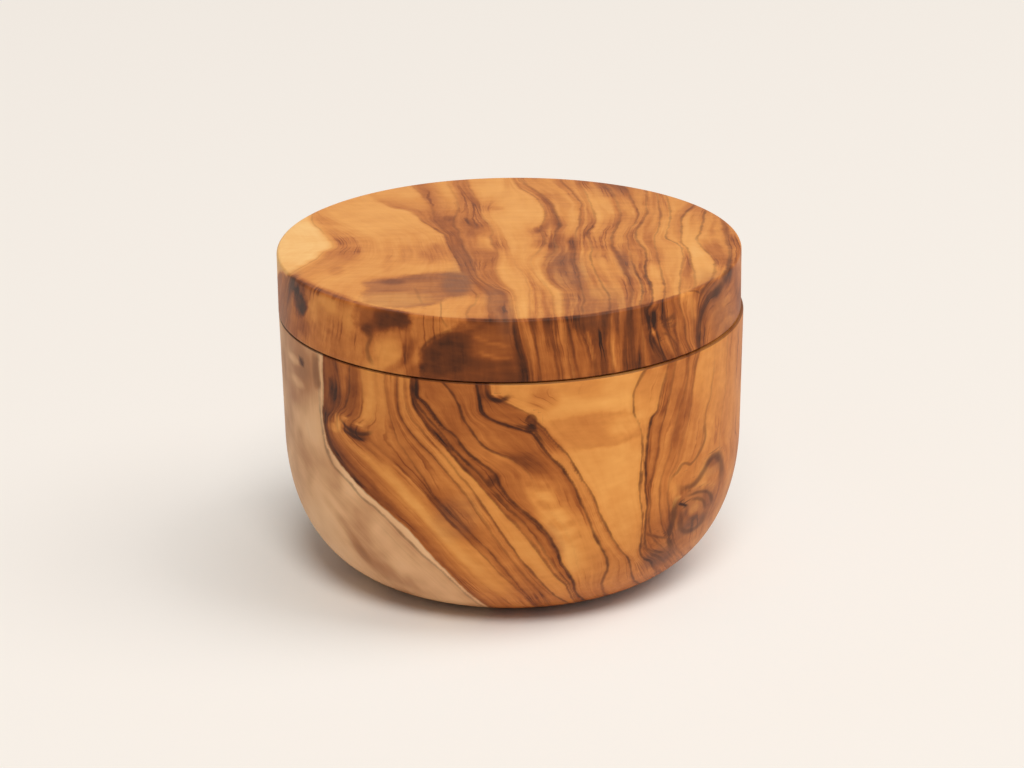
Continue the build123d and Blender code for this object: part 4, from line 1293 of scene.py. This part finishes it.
def olive_wood():
    """Oiled olive wood, drawn by the grain fields that are stored on the mesh."""
    g = Graph(bpy.data.materials.new("olive_wood_oiled"))
    place = g.scaled(g.place(), 1 / MM)
    x, y, z = g.split(place)

    # Small wanderings of every line, in millimetres
    drift = g.noise(place, *WANDER_NOISE) * WANDER + g.noise(place, *JITTER_NOISE) * JITTER
    drifted = g.field("flow") + drift
    gap = g.field("gap")
    warped = g.field("phase") + drift / gap
    nearest = g.math("ROUND", warped)
    distance = (warped - nearest) * gap

    def drawn_out(across, along):
        """Places in the wood, scaled by one factor across the grain and another along it."""
        return g.combine(drifted * across, z * along, y * along)

    # Tone of the band on each side of the nearest line
    soft = g.field("soft") * BAND_SOFTNESS
    right_side = g.step(distance, -soft, soft)
    odd_line = abs(g.math("MODULO", nearest, 2))
    even_share = right_side + (1 - right_side * 2) * odd_line
    odd = g.field("odd")
    band = (g.field("even") - odd) * even_share + odd

    # Streaks that follow the grain, plainer in pale wood, and soft clouds and ripples across it
    streaks = drawn_out(*STREAK_DRAW)
    broad = g.step(g.noise(streaks, *BROAD_NOISE), *BROAD_EDGES) * 2 - 1
    medium = g.noise(streaks, *MEDIUM_NOISE)
    fine = g.noise(streaks, *FINE_NOISE)
    streak = broad * g.field("stripes") + medium * STREAK_MEDIUM + fine * STREAK_FINE
    life = g.step(band, *LIFE_TONES) * (1 - LIFE_LEAST) + LIFE_LEAST
    cloud = g.noise(place, *CLOUD_NOISE)
    ripple = g.noise(drawn_out(*RIPPLE_DRAW), *RIPPLE_NOISE)
    tone = band + streak * life + cloud * CLOUDS + ripple * RIPPLES

    # Thin dark threads between the lines, stronger in brown wood
    thread = g.step(abs(g.noise(drawn_out(*THREAD_DRAW), *THREAD_NOISE)), *THREAD_EDGES)
    strength = g.step(g.noise(place, *THREAD_PLACES_NOISE), *THREAD_PLACES) * g.step(tone, *THREAD_TONES)
    tone = tone + thread * strength * THREADS

    # Closed figures
    ragged = g.noise(place, *RAGGED_NOISE) * FIGURE_RAGGED + g.noise(place, *FRAYED_NOISE) * FIGURE_FRAYED
    figure_soft = g.field("figure_soft")
    inside = g.step(g.field("figure") + ragged * figure_soft, figure_soft, -figure_soft)
    figure_tone = g.field("figure_tone") + medium * FIGURE_MEDIUM
    figure_tone = figure_tone + ripple * FIGURE_RIPPLES + cloud * FIGURE_CLOUDS
    tone = tone + (figure_tone - tone) * inside

    # A darker halo along each line, then the line itself
    width = g.field("width")
    off = abs(distance)
    swell = g.noise(place, *SWELL_NOISE) * SWELL + 1
    ink = g.field("ink") * swell * (1 - inside * INK_LOST_IN_FIGURES)
    halo = g.step(off, width + HALO_WIDTH, 0) * ink
    tone = tone + halo * HALO
    reach = width * LINE_WIDTH * swell
    line = g.step(off, reach * LINE_END + LINE_LEAST, reach * LINE_FULL)
    line = g.math("MULTIPLY", line, ink * LINE_INK, clamp=True)
    for layer in "01":
        stroke = g.field(f"stroke{layer}") + drift * STROKE_WANDER
        half = g.field(f"stroke{layer}_width") * swell
        mark = g.step(abs(stroke), half * STROKE_END + LINE_LEAST, half * STROKE_FULL)
        line = g.math("MAXIMUM", line, mark * g.field(f"stroke{layer}_ink"))

    # Painted shade: both pieces are darkened along the outer edges where they meet, for the gap's shadow
    radius = g.math("SQRT", x * x + y * y)
    seam_shade = g.step(z, *SEAM_SHADE_BELOW) * g.step(z, *SEAM_SHADE_ABOVE) * g.step(radius, *SEAM_SHADE_RADII)
    line = g.math("MAXIMUM", line, seam_shade * SEAM_SHADE_INK)

    # Sapwood has no streaks, only soft mottles
    sap = g.step(g.field("sap") - drift, *SAP_EDGES)
    mottle = band + g.noise(place, *MOTTLE_NOISE) * SAP_MOTTLES + medium * SAP_MEDIUM + halo * SAP_HALO
    colour = g.mix(sap, g.ramp(tone, WOOD_TONES), g.ramp(mottle, SAP_TONES))
    grey = g.math("MAXIMUM", g.field("figure_dusk") * inside, g.field("dusk"))
    grey = g.math("MULTIPLY", grey, ripple * DUSK_RIPPLES + DUSK_STRENGTH, clamp=True)
    colour = g.mix(grey, colour, linear(DUSK_COLOUR))
    colour = g.mix(line, colour, linear(LINE_COLOUR))

    g.link(colour, g.shader.inputs["Base Color"])
    g.link(medium * ROUGHNESS_MEDIUM + ROUGHNESS, g.shader.inputs["Roughness"])
    g.link(SPECULAR, g.shader.inputs["Specular IOR Level"])
    g.link(g.bump(fine, BUMP_HEIGHT, BUMP_STRENGTH), g.shader.inputs["Normal"])
    return g.owner


def turned_stock(name, colour, roughness, metallic):
    """Metal or nylon with faint machining marks."""
    g = Graph(bpy.data.materials.new(name))
    brushed = g.noise(g.place(), *BRUSHED_NOISE)
    marks = g.math("MULTIPLY_ADD", brushed, 0.5, 0.5, clamp=True)
    dark = [c * BRUSHED_DARK for c in linear(colour)[:3]]
    g.link(g.mix(marks, linear(colour), (*dark, 1)), g.shader.inputs["Base Color"])
    g.link(metallic, g.shader.inputs["Metallic"])
    g.link(brushed * BRUSHED_ROUGHNESS + roughness, g.shader.inputs["Roughness"])
    return g.owner


def dress_fittings():
    """Gives each fitting, which shows as its CAD solid, its material."""
    for name, colour, roughness, metallic, nodes in FITTINGS:
        material = turned_stock(name, colour, roughness, metallic)
        for node in nodes:
            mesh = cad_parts[node].data
            mesh.materials.clear()
            mesh.materials.append(material)


def make_camera():
    """The photograph's camera, level with the floor but for a small roll."""
    pitch = math.radians(CAMERA_PITCH)
    roll = math.radians(-CAMERA_ROLL)
    forward = Vector((0, math.cos(pitch), -math.sin(pitch)))
    level_right = Vector((1, 0, 0))
    level_up = Vector((0, math.sin(pitch), math.cos(pitch)))
    right = math.cos(roll) * level_right + math.sin(roll) * level_up
    up = -math.sin(roll) * level_right + math.cos(roll) * level_up
    data = bpy.data.cameras.new("camera")
    data.lens = CAMERA_LENS
    data.sensor_width = CAMERA_SENSOR
    data.clip_start = CAMERA_NEAREST
    camera = bpy.data.objects.new("camera", data)
    turn = Matrix((right, up, -forward)).transposed().to_4x4()
    camera.matrix_world = Matrix.Translation(CAMERA_AIM - CAMERA_DISTANCE * forward) @ turn
    bpy.context.scene.collection.objects.link(camera)
    bpy.context.scene.camera = camera


def make_floor():
    """The pale surface that the keeper stands on."""
    bpy.ops.mesh.primitive_plane_add(size=FLOOR_SIZE, location=(0, 0, 0))
    floor = bpy.context.object
    floor.name = "floor"
    g = Graph(bpy.data.materials.new("floor_cream"))
    near = g.step(g.distance(g.place(), (0, 0, 0)), FLOOR_NEAR_TO, FLOOR_NEAR_FROM)
    colour = g.mix(near, linear(FLOOR_COLOUR), linear(FLOOR_NEAR_COLOUR))
    g.link(colour, g.shader.inputs["Base Color"])
    g.link(FLOOR_ROUGHNESS, g.shader.inputs["Roughness"])
    g.link(FLOOR_SPECULAR, g.shader.inputs["Specular IOR Level"])
    # Seen directly or mirrored, the floor is partly its plain colour, whatever light falls there
    even = g.step(g.distance(g.place(), FLOOR_EVEN_CENTRE), FLOOR_EVEN_FROM, FLOOR_EVEN_TO)
    glow = g.value(0, "Emission", {"Color": linear(FLOOR_COLOUR)})
    lit = Value(g, g.shader.outputs[0])
    blend = g.value(0, "MixShader", {0: g.seen() * even * FLOOR_EVENNESS, 1: lit, 2: glow})
    g.link(blend, g.tree.nodes["Material Output"].inputs["Surface"])
    floor.data.materials.append(g.owner)


def area_light(name, place, size, power):
    """A round lamp that shines on the keeper."""
    data = bpy.data.lights.new(name, "AREA")
    data.shape = "DISK"
    data.size = size
    data.energy = power
    data.color = LAMP_COLOUR
    lamp = bpy.data.objects.new(name, data)
    lamp.location = place
    direction = LAMP_AIM - Vector(place)
    lamp.rotation_euler = direction.to_track_quat("-Z", "Y").to_euler()
    bpy.context.scene.collection.objects.link(lamp)


def make_light():
    """The pale room and the two lamps."""
    world = bpy.data.worlds.new("studio")
    bpy.context.scene.world = world
    g = Graph(world)
    background = g.tree.nodes["Background"]
    g.link(linear(WORLD_COLOUR), background.inputs["Color"])
    # The room's light is stronger overhead than at eye level, and seen directly it is all pale
    direction = g.value("Generated", "TexCoord")
    height = g.math("MAXIMUM", g.split(direction)[2], 0)
    light = height * (WORLD_HIGH - WORLD_LOW) + WORLD_LOW
    g.link(g.seen() * (WORLD_SEEN - light) + light, background.inputs["Strength"])
    area_light("key", KEY_PLACE, KEY_SIZE, KEY_POWER)
    area_light("front", FRONT_PLACE, FRONT_SIZE, FRONT_POWER)


make_camera()
make_floor()
make_light()
wood = olive_wood()
for piece in (make_bowl(), make_lid()):
    piece.data.materials.append(wood)
dress_fittings()

bpy.context.scene.view_settings.view_transform = "Standard"
